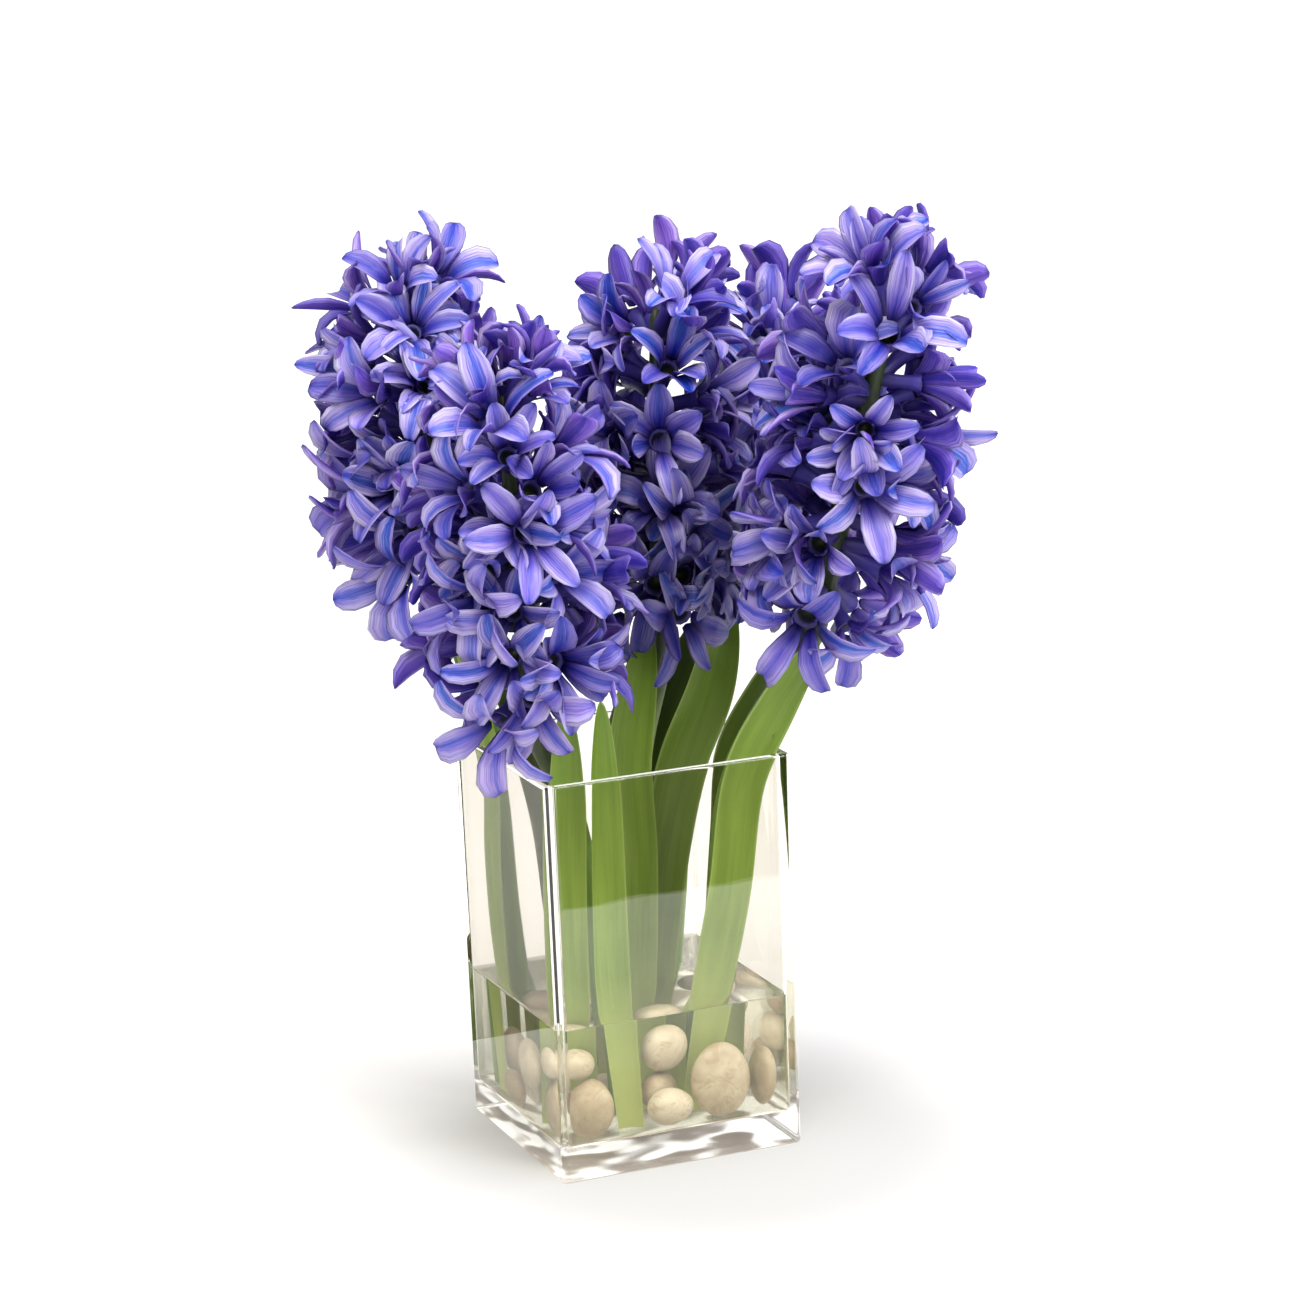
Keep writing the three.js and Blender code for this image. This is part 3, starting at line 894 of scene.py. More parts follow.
@dataclass
class Vase:
    """The square glass vase: thick base, soft corners, a fire-polished rim."""

    side: float = 100.0
    height: float = 155.0
    foot_share: float = 0.987
    wall: float = 3.5
    base: float = 13.0
    corner: float = 2.4
    inner_corner: float = 2.2
    corner_steps: int = 6
    rim: float = 1.1
    foot_edge: float = 1.2
    edge_steps: int = 3
    inner_foot: float = 2.0
    inner_foot_steps: int = 4

    def rounded_block(
        self, shape: Shape, side: float, radius: float, low: float, high: float
    ) -> list[bmesh.types.BMFace]:
        """Adds an open-topped square block with rounded uprights.

        Args:
            shape: the mesh to add to.
            side: its side.
            radius: the radius of its uprights.
            low: the height of its floor.
            high: the height of its open top.

        Returns:
            Its faces.
        """
        size = Matrix.Diagonal((side, side, high - low, 1.0))
        pose = Matrix.Translation((0, 0, (low + high) / 2)) @ size
        known = set(shape.faces)
        verts = bmesh.ops.create_cube(shape, size=1.0, matrix=pose)["verts"]
        edges = {e for v in verts for e in v.link_edges}
        uprights = [e for e in edges if abs(e.verts[0].co.z - e.verts[1].co.z) > LEVEL_WITHIN]
        bevel_edges(shape, uprights, radius, self.corner_steps)
        faces = [f for f in shape.faces if f not in known]
        top = [f for f in faces if f.normal.z > FACES_UP]
        bmesh.ops.delete(shape, geom=top, context="FACES_ONLY")
        return [f for f in faces if f.is_valid]

    def round_edges(
        self, shape: Shape, height: float, inside: bool, radius: float, segments: int
    ) -> None:
        """Rounds the level edges at one height, of the outer or the inner wall.

        Args:
            shape: the vase's mesh.
            height: the edges' height.
            inside: whether they are on the inner wall.
            radius: the rounding.
            segments: its steps.
        """
        split = self.side / 2 - self.wall / 2

        def chosen(edge: bmesh.types.BMEdge) -> bool:
            """Tells whether an edge is on the wall that is meant."""
            reach = max(max(abs(v.co.x), abs(v.co.y)) for v in edge.verts)
            return is_level_edge(edge, height) and (reach < split) == inside

        bevel_edges(shape, [e for e in shape.edges if chosen(e)], radius, segments)

    def build(self, wardrobe: Wardrobe) -> Piece:
        """Builds the vase.

        Args:
            wardrobe: the finishes.

        Returns:
            The piece.
        """
        shape = bmesh.new()
        self.rounded_block(shape, self.side, self.corner, 0.0, self.height)
        room = self.side - 2 * self.wall
        inner = self.rounded_block(shape, room, self.inner_corner, self.base, self.height)
        bmesh.ops.reverse_faces(shape, faces=inner)
        bmesh.ops.bridge_loops(shape, edges=[e for e in shape.edges if e.is_boundary])
        bmesh.ops.recalc_face_normals(shape, faces=shape.faces)
        self.round_edges(shape, self.height, False, self.rim, self.edge_steps)
        self.round_edges(shape, self.height, True, self.rim, self.edge_steps)
        self.round_edges(shape, 0.0, False, self.foot_edge, self.edge_steps)
        self.round_edges(shape, self.base, True, self.inner_foot, self.inner_foot_steps)
        self.taper(shape)
        piece = place_piece("glass_vase", shape, [wardrobe.get(ClearGlass())], "vase")
        keep_flats_flat(piece)
        return piece

    def taper(self, shape: Shape) -> None:
        """Narrows a shape towards the foot, as the vase does.

        Args:
            shape: the shape.
        """
        for vert in shape.verts:
            share = mix(self.foot_share, 1.0, vert.co.z / self.height)
            vert.co.x *= share
            vert.co.y *= share


def is_level_edge(edge: bmesh.types.BMEdge, height: float) -> bool:
    """Tells whether an edge lies at a height and has a real corner."""
    level = all(abs(v.co.z - height) < LEVEL_WITHIN for v in edge.verts)
    return level and edge.calc_face_angle(0.0) > REAL_CORNER


def keep_cuts_sharp(piece: Piece, degrees: float = 50) -> None:
    """Shades a piece smooth, except over the edges that are sharper than an angle."""
    piece.data.set_sharp_from_angle(angle=math.radians(degrees))


def keep_flats_flat(piece: Piece) -> None:
    """Weights a piece's normals by area, so that its flat walls look flat up to their rounded corners.

    Args:
        piece: the piece.
    """
    weighted = piece.modifiers.new("even_walls", "WEIGHTED_NORMAL")
    weighted.weight = 100
    weighted.keep_sharp = True


@dataclass
class Water:
    """The water: up to its level, wetting the glass a little higher all round."""

    vase: Vase
    level: float = 59.0
    creep: float = 0.9
    creep_width: float = 2.6
    creep_steps: tuple[float, ...] = (0.35, 0.65)
    into_glass: float = 0.15

    def build(self, wardrobe: Wardrobe) -> Piece:
        """Builds the water. It runs a hair into the glass, so that no film of air shows between them.

        Args:
            wardrobe: the finishes.

        Returns:
            The piece.
        """
        vase = self.vase
        side = vase.side - 2 * vase.wall + 2 * self.into_glass
        radius = vase.inner_corner + self.into_glass
        low = vase.base - self.into_glass
        shape = bmesh.new()
        vase.rounded_block(shape, side, radius, low, self.level + self.creep)
        bmesh.ops.contextual_create(shape, geom=[e for e in shape.edges if e.is_boundary])
        foot = [e for e in shape.edges if is_level_edge(e, low)]
        bevel_edges(shape, foot, vase.inner_foot, vase.inner_foot_steps)
        for share in self.creep_steps:
            top = [f for f in shape.faces if f.normal.z > FACES_UP and f.calc_center_median().z > self.level]
            width, fall = self.creep_width * share, -self.creep * (1 - share)
            bmesh.ops.inset_region(shape, faces=top, thickness=width, depth=fall)
        vase.taper(shape)
        piece = place_piece("standing_water", shape, [wardrobe.get(StillWater())], "water")
        keep_cuts_sharp(piece)
        keep_flats_flat(piece)
        return piece


@dataclass(frozen=True)
class Pebble:
    """One pebble: its half sizes, and its turn and tilt in radians."""

    half: Triple
    turn: float
    tilt: float


@dataclass
class PebbleBed:
    """The pebbles on the vase's floor, each where its solid lies and drawn in a hair, so that none cross."""

    long_swell: float = 0.07
    long_rate: float = 2.3
    cross_swell: float = 0.05
    cross_rate: float = 3.1
    drawn_in: float = 0.982
    pebbles: tuple[Pebble, ...] = (
        Pebble((8, 11, 11.5), 0.5, 0.25),
        Pebble((12.5, 7, 13.5), 0.05, -0.1),
        Pebble((5, 9, 11.5), 0.1, 0.1),
        Pebble((9.5, 6.5, 7.5), -0.2, 0.1),
        Pebble((8.5, 12, 10), 0.1, 0.2),
        Pebble((10, 8, 7), 0.9, 0.2),
        Pebble((7, 10, 8), -0.2, 0.2),
        Pebble((9, 11, 9), 0.7, 0.1),
        Pebble((8, 6.5, 7.5), 0.1, 0.2),
        Pebble((8, 8, 7.5), 0.4, 0.0),
        Pebble((8.5, 7, 7.5), 0.6, 0.1),
        Pebble((9.5, 8.5, 10), 0.3, 0.2),
        Pebble((7.5, 7, 6.5), 1.2, 0.2),
        Pebble((8, 7, 7.5), 0.8, -0.2),
        Pebble((7.5, 9, 6.5), 0.4, 0.2),
    )

    def swell(self, spot: Vector, seed: int) -> float:
        """Gives how far a pebble stands out of its ellipsoid in one direction."""
        long = self.long_swell * math.sin(self.long_rate * spot.x + seed)
        return 1 + long + self.cross_swell * math.sin(self.cross_rate * spot.y + 2 * seed)

    def build(self, wardrobe: Wardrobe) -> list[Piece]:
        """Builds the pebbles.

        Args:
            wardrobe: the finishes.

        Returns:
            The pieces.
        """
        return [self.stone(index, pebble, wardrobe) for index, pebble in enumerate(self.pebbles)]

    def stone(self, index: int, pebble: Pebble, wardrobe: Wardrobe) -> Piece:
        """Builds one pebble: a ball swollen, drawn out and turned, in the middle of its solid's place.

        Args:
            index: its place in the row of pebbles.
            pebble: its sizes.
            wardrobe: the finishes.

        Returns:
            The piece.
        """
        shape = bmesh.new()
        tint = shape.verts.layers.float.new("tint")
        bmesh.ops.create_icosphere(shape, subdivisions=4, radius=1.0)
        turn = Matrix.Rotation(pebble.turn, 3, "Z")
        turn = turn @ Matrix.Rotation(pebble.tilt, 3, "X") @ Matrix.Rotation(pebble.tilt / 2, 3, "Y")
        for vert in shape.verts:
            swell = self.swell(vert.co, index)
            spot = [half * self.drawn_in * swell * c for half, c in zip(pebble.half, vert.co)]
            vert.co = turn @ Vector(spot)
            vert[tint] = own_share(index, Draw.STONE_TINT)
        number = f"{index + 1:02d}"
        low, high = (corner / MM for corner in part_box(f"pebble_{number}"))
        span = [[min(v.co[i] for v in shape.verts), max(v.co[i] for v in shape.verts)] for i in range(3)]
        middle = Vector([(a + b) / 2 for a, b in span])
        bmesh.ops.translate(shape, vec=(low + high) / 2 - middle, verts=shape.verts)
        finish = wardrobe.get(BeachPebble())
        return place_piece(f"beach_pebble_{number}", shape, [finish], f"pebble_{number}")


@dataclass(frozen=True)
class Leaf:
    """One strap leaf: its middle line, how it faces at foot and tip, its width and how much painted shade it
    carries.
    """

    points: tuple[Triple, ...]
    facing: Pair
    width: float
    painted_shade: float = 0.0


TO_VIEWER = -1.95


@dataclass
class LeafBlades:
    """The strap leaves: channelled blades with rounded, hooded tips."""

    thickness: float = 0.9
    channel: float = 2.2
    foot_height: float = 13.3
    foot_share: float = 0.72
    foot_end: float = 0.35
    tip_start: float = 0.74
    tip_rows_closer: float = 1.25
    wave: float = 0.35
    wave_rate: float = 9.0
    rows: int = 56
    columns: int = 12
    leaves: tuple[Leaf, ...] = (
        Leaf(
            ((-16, -31, 0), (-19.5, -31.5, 64), (-20, -31.5, 104), (-19.5, -31, 148), (-18.5, -30, 180)),
            (TO_VIEWER, TO_VIEWER + 0.8),
            14,
        ),
        Leaf(
            ((-2, -8, 0), (-1, -8, 61), (0, -11, 114), (-2, -15, 151), (5, -12, 182), (11, -8, 198)),
            (TO_VIEWER, TO_VIEWER - 0.2),
            17,
        ),
        Leaf(
            (
                (9, 2, 0), (9.5, 0.5, 60), (14, -1, 100), (24.5, -3, 145),
                (38, 0, 170), (50, 12, 190), (56, 20, 199),
            ),
            (TO_VIEWER, TO_VIEWER + 0.1),
            19,
            0.15,
        ),
        Leaf(
            (
                (13, -22, 0), (19, -28, 50), (28, -35, 100),
                (35.3, -37.6, 146), (45.5, -47, 173), (57, -61, 200),
            ),
            (TO_VIEWER, TO_VIEWER),
            16,
        ),
        Leaf(
            ((33, -4, 0), (34, -10, 70), (36, -17, 120), (38, -21, 150), (47, -31, 176), (55, -42, 197)),
            (TO_VIEWER + 0.2, TO_VIEWER - 0.3),
            13.5,
            0.6,
        ),
        Leaf(
            ((-34, 25, 0), (-39, 26, 60), (-41.5, 25, 107), (-41.5, 24, 145), (-46, 27, 172), (-53, 33, 200)),
            (3.1, 3.3),
            15,
        ),
        Leaf(
            ((-8, 34, 0), (-9, 36, 70), (-14, 39, 130), (-27, 46, 175), (-42, 52, 207)),
            (1.4, 1.5),
            17,
            0.7,
        ),
        Leaf(((24, 34, 0), (28, 36, 80), (34, 36, 150), (46, 37, 175), (58, 33, 198)), (1.0, 1.1), 18, 0.7),
        Leaf(((2, 24, 0), (4, 27, 80), (6, 24, 130), (12, 14, 165), (17, 6, 197)), (1.5, 1.4), 16, 0.85),
        Leaf(
            ((-30, -17, 0), (-33, -23, 50), (-35.5, -30, 100), (-35.5, -35, 150), (-35, -36, 181)),
            (TO_VIEWER, TO_VIEWER),
            13.5,
        ),
    )

    def breadth(self, share: float) -> float:
        """Gives the share of the full width at a share of the length.

        Args:
            share: the share of the length.

        Returns:
            The width's share.
        """
        foot = mix(self.foot_share, 1.0, min(1.0, share / self.foot_end))
        towards_tip = max(0.0, (share - self.tip_start) / (1 - self.tip_start))
        return max(0.01, foot * math.sqrt(max(0.0, 1 - towards_tip**2)))

    def build(self, wardrobe: Wardrobe) -> list[Piece]:
        """Builds the leaves.

        Args:
            wardrobe: the finishes.

        Returns:
            The pieces.
        """
        return [self.blade(index, leaf, wardrobe) for index, leaf in enumerate(self.leaves)]

    def blade(self, index: int, leaf: Leaf, wardrobe: Wardrobe) -> Piece:
        """Builds one leaf: a grid bent to its middle line and channel, then given its thickness.

        Args:
            index: its place in the row of leaves.
            leaf: its sizes.
            wardrobe: the finishes.

        Returns:
            The piece.
        """
        line = Spline(((*leaf.points[0][:2], self.foot_height), *leaf.points[1:]))
        shape = blank_shape()
        bmesh.ops.create_grid(shape, x_segments=self.columns, y_segments=self.rows, size=1.0)
        for vert in shape.verts:
            across = vert.co.x
            share = 1 - (1 - (vert.co.y + 1) / 2) ** self.tip_rows_closer
            along = line.heading(share)
            turn = mix(leaf.facing[0], leaf.facing[1], share)
            side = Vector((math.cos(turn), math.sin(turn), 0)).cross(along).normalized()
            out = along.cross(side)
            half = self.breadth(share) * leaf.width / 2
            wave = self.wave * math.sin(self.wave_rate * share + 2 * index + across) * across
            lift = self.channel * (half / leaf.width * 2) * (across**2 - 0.5) + wave
            vert.co = line.at(share) + side * (across * half) + out * lift
            if share == 0:
                vert.co.z = self.foot_height
            mark_point(shape, vert, across, share, own_share(index, Draw.LEAF_TINT), leaf.painted_shade)
        bmesh.ops.solidify(shape, geom=shape.faces[:], thickness=self.thickness)
        for vert in shape.verts:
            vert.co.z = max(vert.co.z, self.foot_height)
        bmesh.ops.recalc_face_normals(shape, faces=shape.faces)
        number = f"{index + 1:02d}"
        finish = wardrobe.get(FreshBlade())
        piece = place_piece(f"strap_leaf_{number}", shape, [finish], f"leaf_{number}")
        keep_cuts_sharp(piece)
        return piece


@dataclass(frozen=True)
class Plant:
    """One plant: its stalk's way, its head's axis, where its lowest floret faces and how much painted shade
    its lower florets carry.
    """

    name: str
    way: tuple[Triple, ...]
    foot: Triple
    top: Triple
    phase: float
    low_florets_painted_shade: float = 0.12

    @property
    def along(self) -> Vector:
        """The direction up the head."""
        return (Vector(self.top) - Vector(self.foot)).normalized()

    @property
    def length(self) -> float:
        """The head's length."""
        return (Vector(self.top) - Vector(self.foot)).length


PLANTS = (
    Plant("left", ((-27, 37, 0), (-32, 39, 80), (-37, 38, 145)), (-52, 46, 221), (-54, 65, 321), 3.3),
    Plant("front", ((-12, -2, 0), (-16, -6, 80), (-28, -14, 140)), (-45, -29, 183), (-55, -39, 301), 3.7),
    Plant("middle", ((-2, 10, 0), (4, 11, 80), (11, 6, 150)), (19, -3, 206), (23, 2, 321), 5.2, 0.75),
    Plant("right", ((22, -12, 0), (28, -21, 80), (34, -28, 142)), (61, -55, 212), (81, -86, 332), 4.1),
    Plant("back", ((20, 20, 0), (27, 20, 80), (36, 20, 144)), (64, 28, 207), (93, 37, 299), 0.4, 0.4),
)


def square_to(along: Vector) -> Matrix:
    """Gives the turn that sets the Z axis along a direction, with X as near to the room's X as may be."""
    across = (Vector((1, 0, 0)) - along * along.x).normalized()
    return Matrix((across, along.cross(across), along)).transposed()


@dataclass
class Stalks:
    """The thick flower stalks, from the vase's floor to the heads: faintly ribbed and knuckled."""

    radius: float = 4.8
    lift: float = 1.2
    straight_end: float = 10.0
    gap: float = 0.3
    floor: float = 13.0
    sides: int = 24
    rings: int = 48
    ribs: int = 5
    rib_share: float = 0.025
    knuckle_rate: float = 14.0
    knuckle_share: float = 0.02
    fibre_spread: float = 3.0

    def build(self, wardrobe: Wardrobe) -> list[Piece]:
        """Builds the stalks.

        Args:
            wardrobe: the finishes.

        Returns:
            The pieces.
        """
        return [self.stalk(index, plant, wardrobe) for index, plant in enumerate(PLANTS)]

    def add_rings(self, shape: Shape) -> list[list[bmesh.types.BMVert]]:
        """Adds a ring and draws it out into a row of rings, which still lie on one another.

        Args:
            shape: the mesh to add to.

        Returns:
            The rings' points.
        """
        ring = bmesh.ops.create_circle(shape, cap_ends=False, segments=self.sides, radius=1.0)["verts"]
        rings = [ring]
        for _ in range(self.rings):
            edges = {e for v in ring for e in v.link_edges if all(w in ring for w in e.verts)}
            made = bmesh.ops.extrude_edge_only(shape, edges=list(edges))["geom"]
            fresh = [g for g in made if isinstance(g, bmesh.types.BMVert)]
            ring = [next(w for w in fresh if (w.co - v.co).length < SAME_PLACE) for v in ring]
            rings.append(ring)
        return rings

    def stalk(self, index: int, plant: Plant, wardrobe: Wardrobe) -> Piece:
        """Builds one stalk: a ring carried along its way, with a flat cut foot.

        Args:
            index: its place in the row of plants.
            plant: its way.
            wardrobe: the finishes.

        Returns:
            The piece.
        """
        end = Vector(plant.foot) - plant.along * self.gap
        start = (*plant.way[0][:2], self.floor + self.lift)
        line = Spline((start, *plant.way[1:], tuple(end - plant.along * self.straight_end), tuple(end)))
        shape = blank_shape()
        rings = self.add_rings(shape)
        around = [math.atan2(v.co.y, v.co.x) for v in rings[0]]
        for count, ring in enumerate(rings):
            share = count / self.rings
            knuckle = self.knuckle_share * math.sin(self.knuckle_rate * share + index)
            pose = Matrix.Translation(line.at(share)) @ square_to(line.heading(share)).to_4x4()
            for vert, angle in zip(ring, around):
                radius = self.radius * (1 + self.rib_share * math.cos(self.ribs * angle + index) + knuckle)
                vert.co = pose @ Vector((radius * math.cos(angle), radius * math.sin(angle), 0))
                across = self.fibre_spread * math.sin(angle / 2)
                mark_point(shape, vert, across, share, own_share(index, Draw.STALK_TINT))
        bmesh.ops.holes_fill(shape, edges=[e for e in shape.edges if e.is_boundary], sides=0)
        bmesh.ops.recalc_face_normals(shape, faces=shape.faces)
        finish = wardrobe.get(FleshyStem())
        piece = place_piece(f"flower_stalk_{plant.name}", shape, [finish], f"scape_{plant.name}")
        keep_cuts_sharp(piece)
        return piece


@dataclass(frozen=True)
class Wall:
    """The upright wall midway between two heads, looking from the first to the second."""

    point: Vector
    across: Vector

    @classmethod
    def between(cls, first: Plant, second: Plant) -> "Wall":
        """Finds the wall between two plants' heads.

        Args:
            first: one plant.
            second: the other.

        Returns:
            The wall.
        """
        foot = (Vector(first.foot) + Vector(second.foot)) / 2
        top = (Vector(first.top) + Vector(second.top)) / 2
        up = (top - foot).normalized()
        across = Vector(second.foot) - Vector(first.foot) + Vector(second.top) - Vector(first.top)
        across -= up * across.dot(up)
        return cls(foot, across.normalized())


@dataclass(frozen=True)
class Tepal:
    """One tepal's own form: a thin, channelled blade that curls most towards its tip.

    Angles are in radians. The flare is the angle at which it leaves the tube, and the one at which it ends.
    """

    root: Pair
    angle: float
    length: float
    flare: Pair
    raised: float
    twist: float
    sway: float
    plump: float
    tint: float
    late_curl: float = 1.5
    line_steps: int = 10
    width: float = 11.2
    throat_share: float = 0.34
    throat_start: float = 0.15
    widest: float = 0.58
    tip_bulge: float = 2.2
    tip_roundness: float = 0.6
    edge_lift: float = 3.3
    level_at: float = 0.35
    channel_start: float = 0.3
    ripple: float = 0.55
    ripple_rate: float = 7.0
    ripple_shift: float = 6.3
    half_thickness: float = 0.5
    thinner_tip: float = 0.3
    full_ring: float = 2.2

    def heading(self, share: float) -> float:
        """Gives the angle between the tube's axis and the middle line at a share of the length."""
        return mix(self.flare[0], self.flare[1], share**self.late_curl)

    def middle(self, share: float) -> Pair:
        """Gives the distance from the tube's axis, and the height along it, of a point on the middle line.

        Args:
            share: the share of the tepal's length.

        Returns:
            Radius and height.
        """
        radius, height = self.root
        step = share / self.line_steps
        for k in range(self.line_steps):
            turned = self.heading((k + 0.5) * step)
            radius += self.length * step * math.sin(turned)
            height += self.length * step * math.cos(turned)
        return radius, height

    def half_width(self, share: float) -> float:
        """Gives half the width at a share of the length: narrow at the throat, and rounded at the tip.

        Args:
            share: the share of the tepal's length.

        Returns:
            Half the width.
        """
        full = self.width / 2
        if share < self.widest:
            grown = self.throat_start + (1 - self.throat_start) * share / self.widest
            return mix(self.throat_share * full, full, smooth(grown))
        towards_tip = (share - self.widest) / (1 - self.widest)
        return full * max(0.0, 1 - towards_tip**self.tip_bulge) ** self.tip_roundness

    def lift(self, across: float, share: float, half: float) -> float:
        """Gives how far the blade stands off its middle line: channelled, twisted and rippled at the edges.

        Args:
            across: the place across the blade, from -1 to 1.
            share: the share of its length.
            half: half its width there.

        Returns:
            The lift towards the tube's axis.
        """
        full = half / self.width * 2
        channel = self.edge_lift * full * (across**2 - self.level_at) * smooth(self.channel_start + share)
        turned = math.sin(self.twist * share * 2) * across * half * 0.5
        wave = math.sin(self.ripple_rate * share + self.ripple_shift * self.tint)
        return channel + turned + self.ripple * wave * abs(across) * across * share

    def drawn_out(self, ball: Vector) -> tuple[Triple, float, float]:
        """Gives where a point of a ball of radius 1 comes to lie as the ball is drawn out to the tepal.

        Args:
            ball: the point, its Z along the tepal and its Y towards the tepal's face.

        Returns:
            The place in the floret, and the places across and along the tepal.
        """
        ring = math.hypot(ball.x, ball.y)
        share = (ball.z + 1) / 2
        across = ball.x / ring if ring > MERGED_WITHIN else 0.0
        side = ball.y / ring if ring > MERGED_WITHIN else 0.0
        half = self.half_width(share) * self.plump
        thick = self.half_thickness * side * (1 - self.thinner_tip * share) * min(1.0, ring * self.full_ring)
        off = thick + self.lift(across, share, half)
        radius, height = self.middle(share)
        turned = self.heading(share)
        radius -= math.cos(turned) * off
        height += math.sin(turned) * off + self.raised * (1 - share)
        wide = across * half + self.sway * share * share
        cosine, sine = math.cos(self.angle), math.sin(self.angle)
        return (cosine * radius - sine * wide, sine * radius + cosine * wide, height), across, share


@dataclass(frozen=True)
class Scatter:
    """How far the draws set florets and tepals apart: angles in radians, sway in millimetres, or shares."""

    turn: float = 0.12
    tilt: float = 0.36
    lean: float = 0.58
    roll: float = 0.52
    size: float = 0.08
    opened: float = 0.22
    filler_opened: float = 0.15
    filler_climb: float = 0.48
    angle: float = 0.25
    length: Pair = (0.1, 0.07)
    curl: Pair = (0.35, 0.6)
    flare: float = 0.2
    twist: float = 1.4
    sway: float = 4.2
    plump: float = 0.17
    tint: Pair = (0.32, 0.18)


@dataclass
class FlowerHead:
    """One head: florets on a golden-angle spiral up a slim core, each a tube and six tepals."""

    plant: Plant
    index: int
    florets: int = 20
    fillers: int = 30
    candidates: int = 14
    filler_size: float = 0.86
    filler_open: float = 0.85
    skin_radius: float = 30.0
    golden: float = 2.39996
    first_root: float = 5.0
    last_root: float = 4.0
    lowest_tilt: float = 1.72
    middle_tilt: float = 1.5
    highest_tilt: float = 0.42
    droop_share: float = 0.25
    closing: float = 1.6
    top_size: float = 0.86
    top_open: float = 0.8
    core_sides: int = 12
    tube: float = 22.5
    tube_profile: tuple[Pair, ...] = (
        (0, 0.5), (2.4, 1.5), (3.6, 7), (3.2, 13), (3.6, 18), (4.9, 22.2), (4.3, 22.8), (2.9, 19.5),
        (0, 14.5),
    )
    tube_sides: int = 10
    valley_radius: float = 4.4
    tepals: int = 6
    tepal: float = 28.0
    tepal_plump: float = 0.96
    tepal_sides: int = 8
    flare: Pair = (0.44, 1.98)
    outer_curl: float = 0.2
    most_curl: float = 2.75
    whorls_apart: float = 0.6
    scatter: Scatter = field(default_factory=Scatter)
    shaded_up_to: float = 0.7
    shade_rate: float = 1.35
    margin: float = 1.8
    knee: float = 14.0
    rim_gap: float = 3.0
    rim_slope: float = 1.3
    rim_overhang: float = 6.0
    rim_knee: float = 6.0
    vase: Vase = field(default_factory=Vase)

    @cached_property
    def walls(self) -> list[Wall]:
        """The walls to the other heads."""
        return [Wall.between(self.plant, other) for other in PLANTS if other is not self.plant]

    @property
    def core_profile(self) -> tuple[Pair, ...]:
        """The core's radius and height, from its foot to its tip."""
        length = self.plant.length
        foot = ((0, 0), (4.8, 0), (4.6, 20), (4.2, length * 0.55))
        return (*foot, (2.4, length - 4), (1.2, length - 1), (0, length))

    def bend(self, point: Vector) -> Vector:
        """Eases a point behind the walls to the neighbours, and clear of the vase's rim.

        Args:
            point: a point in millimetres.

        Returns:
            The eased point.
        """
        room = self.knee - self.margin
        for wall in self.walls:
            beyond = (point - wall.point).dot(wall.across) + self.knee
            if beyond > 0:
                point = point + wall.across * (room * (1 - math.exp(-beyond / room)) - beyond)
        outside = max(abs(point.x), abs(point.y)) - self.vase.side / 2
        floor = self.vase.height + self.rim_gap - self.rim_slope * max(0.0, outside - self.rim_overhang)
        above = point.z - floor
        if above < self.rim_knee:
            point = Vector((point.x, point.y, floor + self.rim_knee * math.exp(above / self.rim_knee - 1)))
        return point

    def build(self, wardrobe: Wardrobe) -> Piece:
        """Builds the head. Each floret is shaped on its own and then joined to the head.

        Args:
            wardrobe: the finishes.

        Returns:
            The piece.
        """
        shape = blank_shape()
        self.add_core(shape)
        joint = bpy.data.meshes.new("floret")
        for k, (share, turn) in enumerate(self.spots):
            floret = blank_shape()
            self.add_floret(floret, k, share, turn)
            bmesh.ops.recalc_face_normals(floret, faces=floret.faces)
            floret.to_mesh(joint)
            floret.free()
            shape.from_mesh(joint)
        bpy.data.meshes.remove(joint)
        materials = [wardrobe.get(finish) for finish in (TEPAL_FACE, TEPAL_BACK, TubeSkin(), Rachis())]
        name = f"hyacinth_head_{self.plant.name}"
        return place_piece(name, shape, materials, f"flower_{self.plant.name}")

    def add_core(self, shape: Shape) -> None:
        """Adds the stalk inside the head: a line of points spun round the axis.

        Args:
            shape: the head's mesh.
        """
        faces = spin_profile(shape, self.core_profile, self.core_sides, HeadSkin.CORE)
        pose = Matrix.Translation(self.plant.foot) @ square_to(self.plant.along).to_4x4()
        bmesh.ops.transform(shape, matrix=pose, verts=list({v for f in faces for v in f.verts}))

    @cached_property
    def spots(self) -> list[Pair]:
        """Each floret's share of the way up and its turn: the spiral, then fillers in its widest gaps."""
        spots = []
        for k in range(self.florets):
            drawn = self.scatter.turn * wobble(FLORET_SEEDS * self.index + k, Draw.TURN)
            spots.append(((k + 0.5) / self.florets, self.plant.phase + k * self.golden + drawn))
        reach = self.scatter.filler_climb
        for k in range(self.fillers):
            draws = [HEAD_SEEDS * (self.index + 1) + FILLER_SEEDS * k + j for j in range(self.candidates)]
            tries = [
                (0.5 + reach * wobble(seed, Draw.FILLER_CLIMB), math.pi * wobble(seed, Draw.FILLER_TURN))
                for seed in draws
            ]
            spots.append(max(tries, key=lambda spot: min(self.apart(spot, other) for other in spots)))
        return spots

    def apart(self, first: Pair, second: Pair) -> float:
        """Gives how far apart two florets' spots are over the head's skin, in millimetres."""
        around = (first[1] - second[1] + math.pi) % (2 * math.pi) - math.pi
        return math.hypot((first[0] - second[0]) * self.plant.length, around * self.skin_radius)

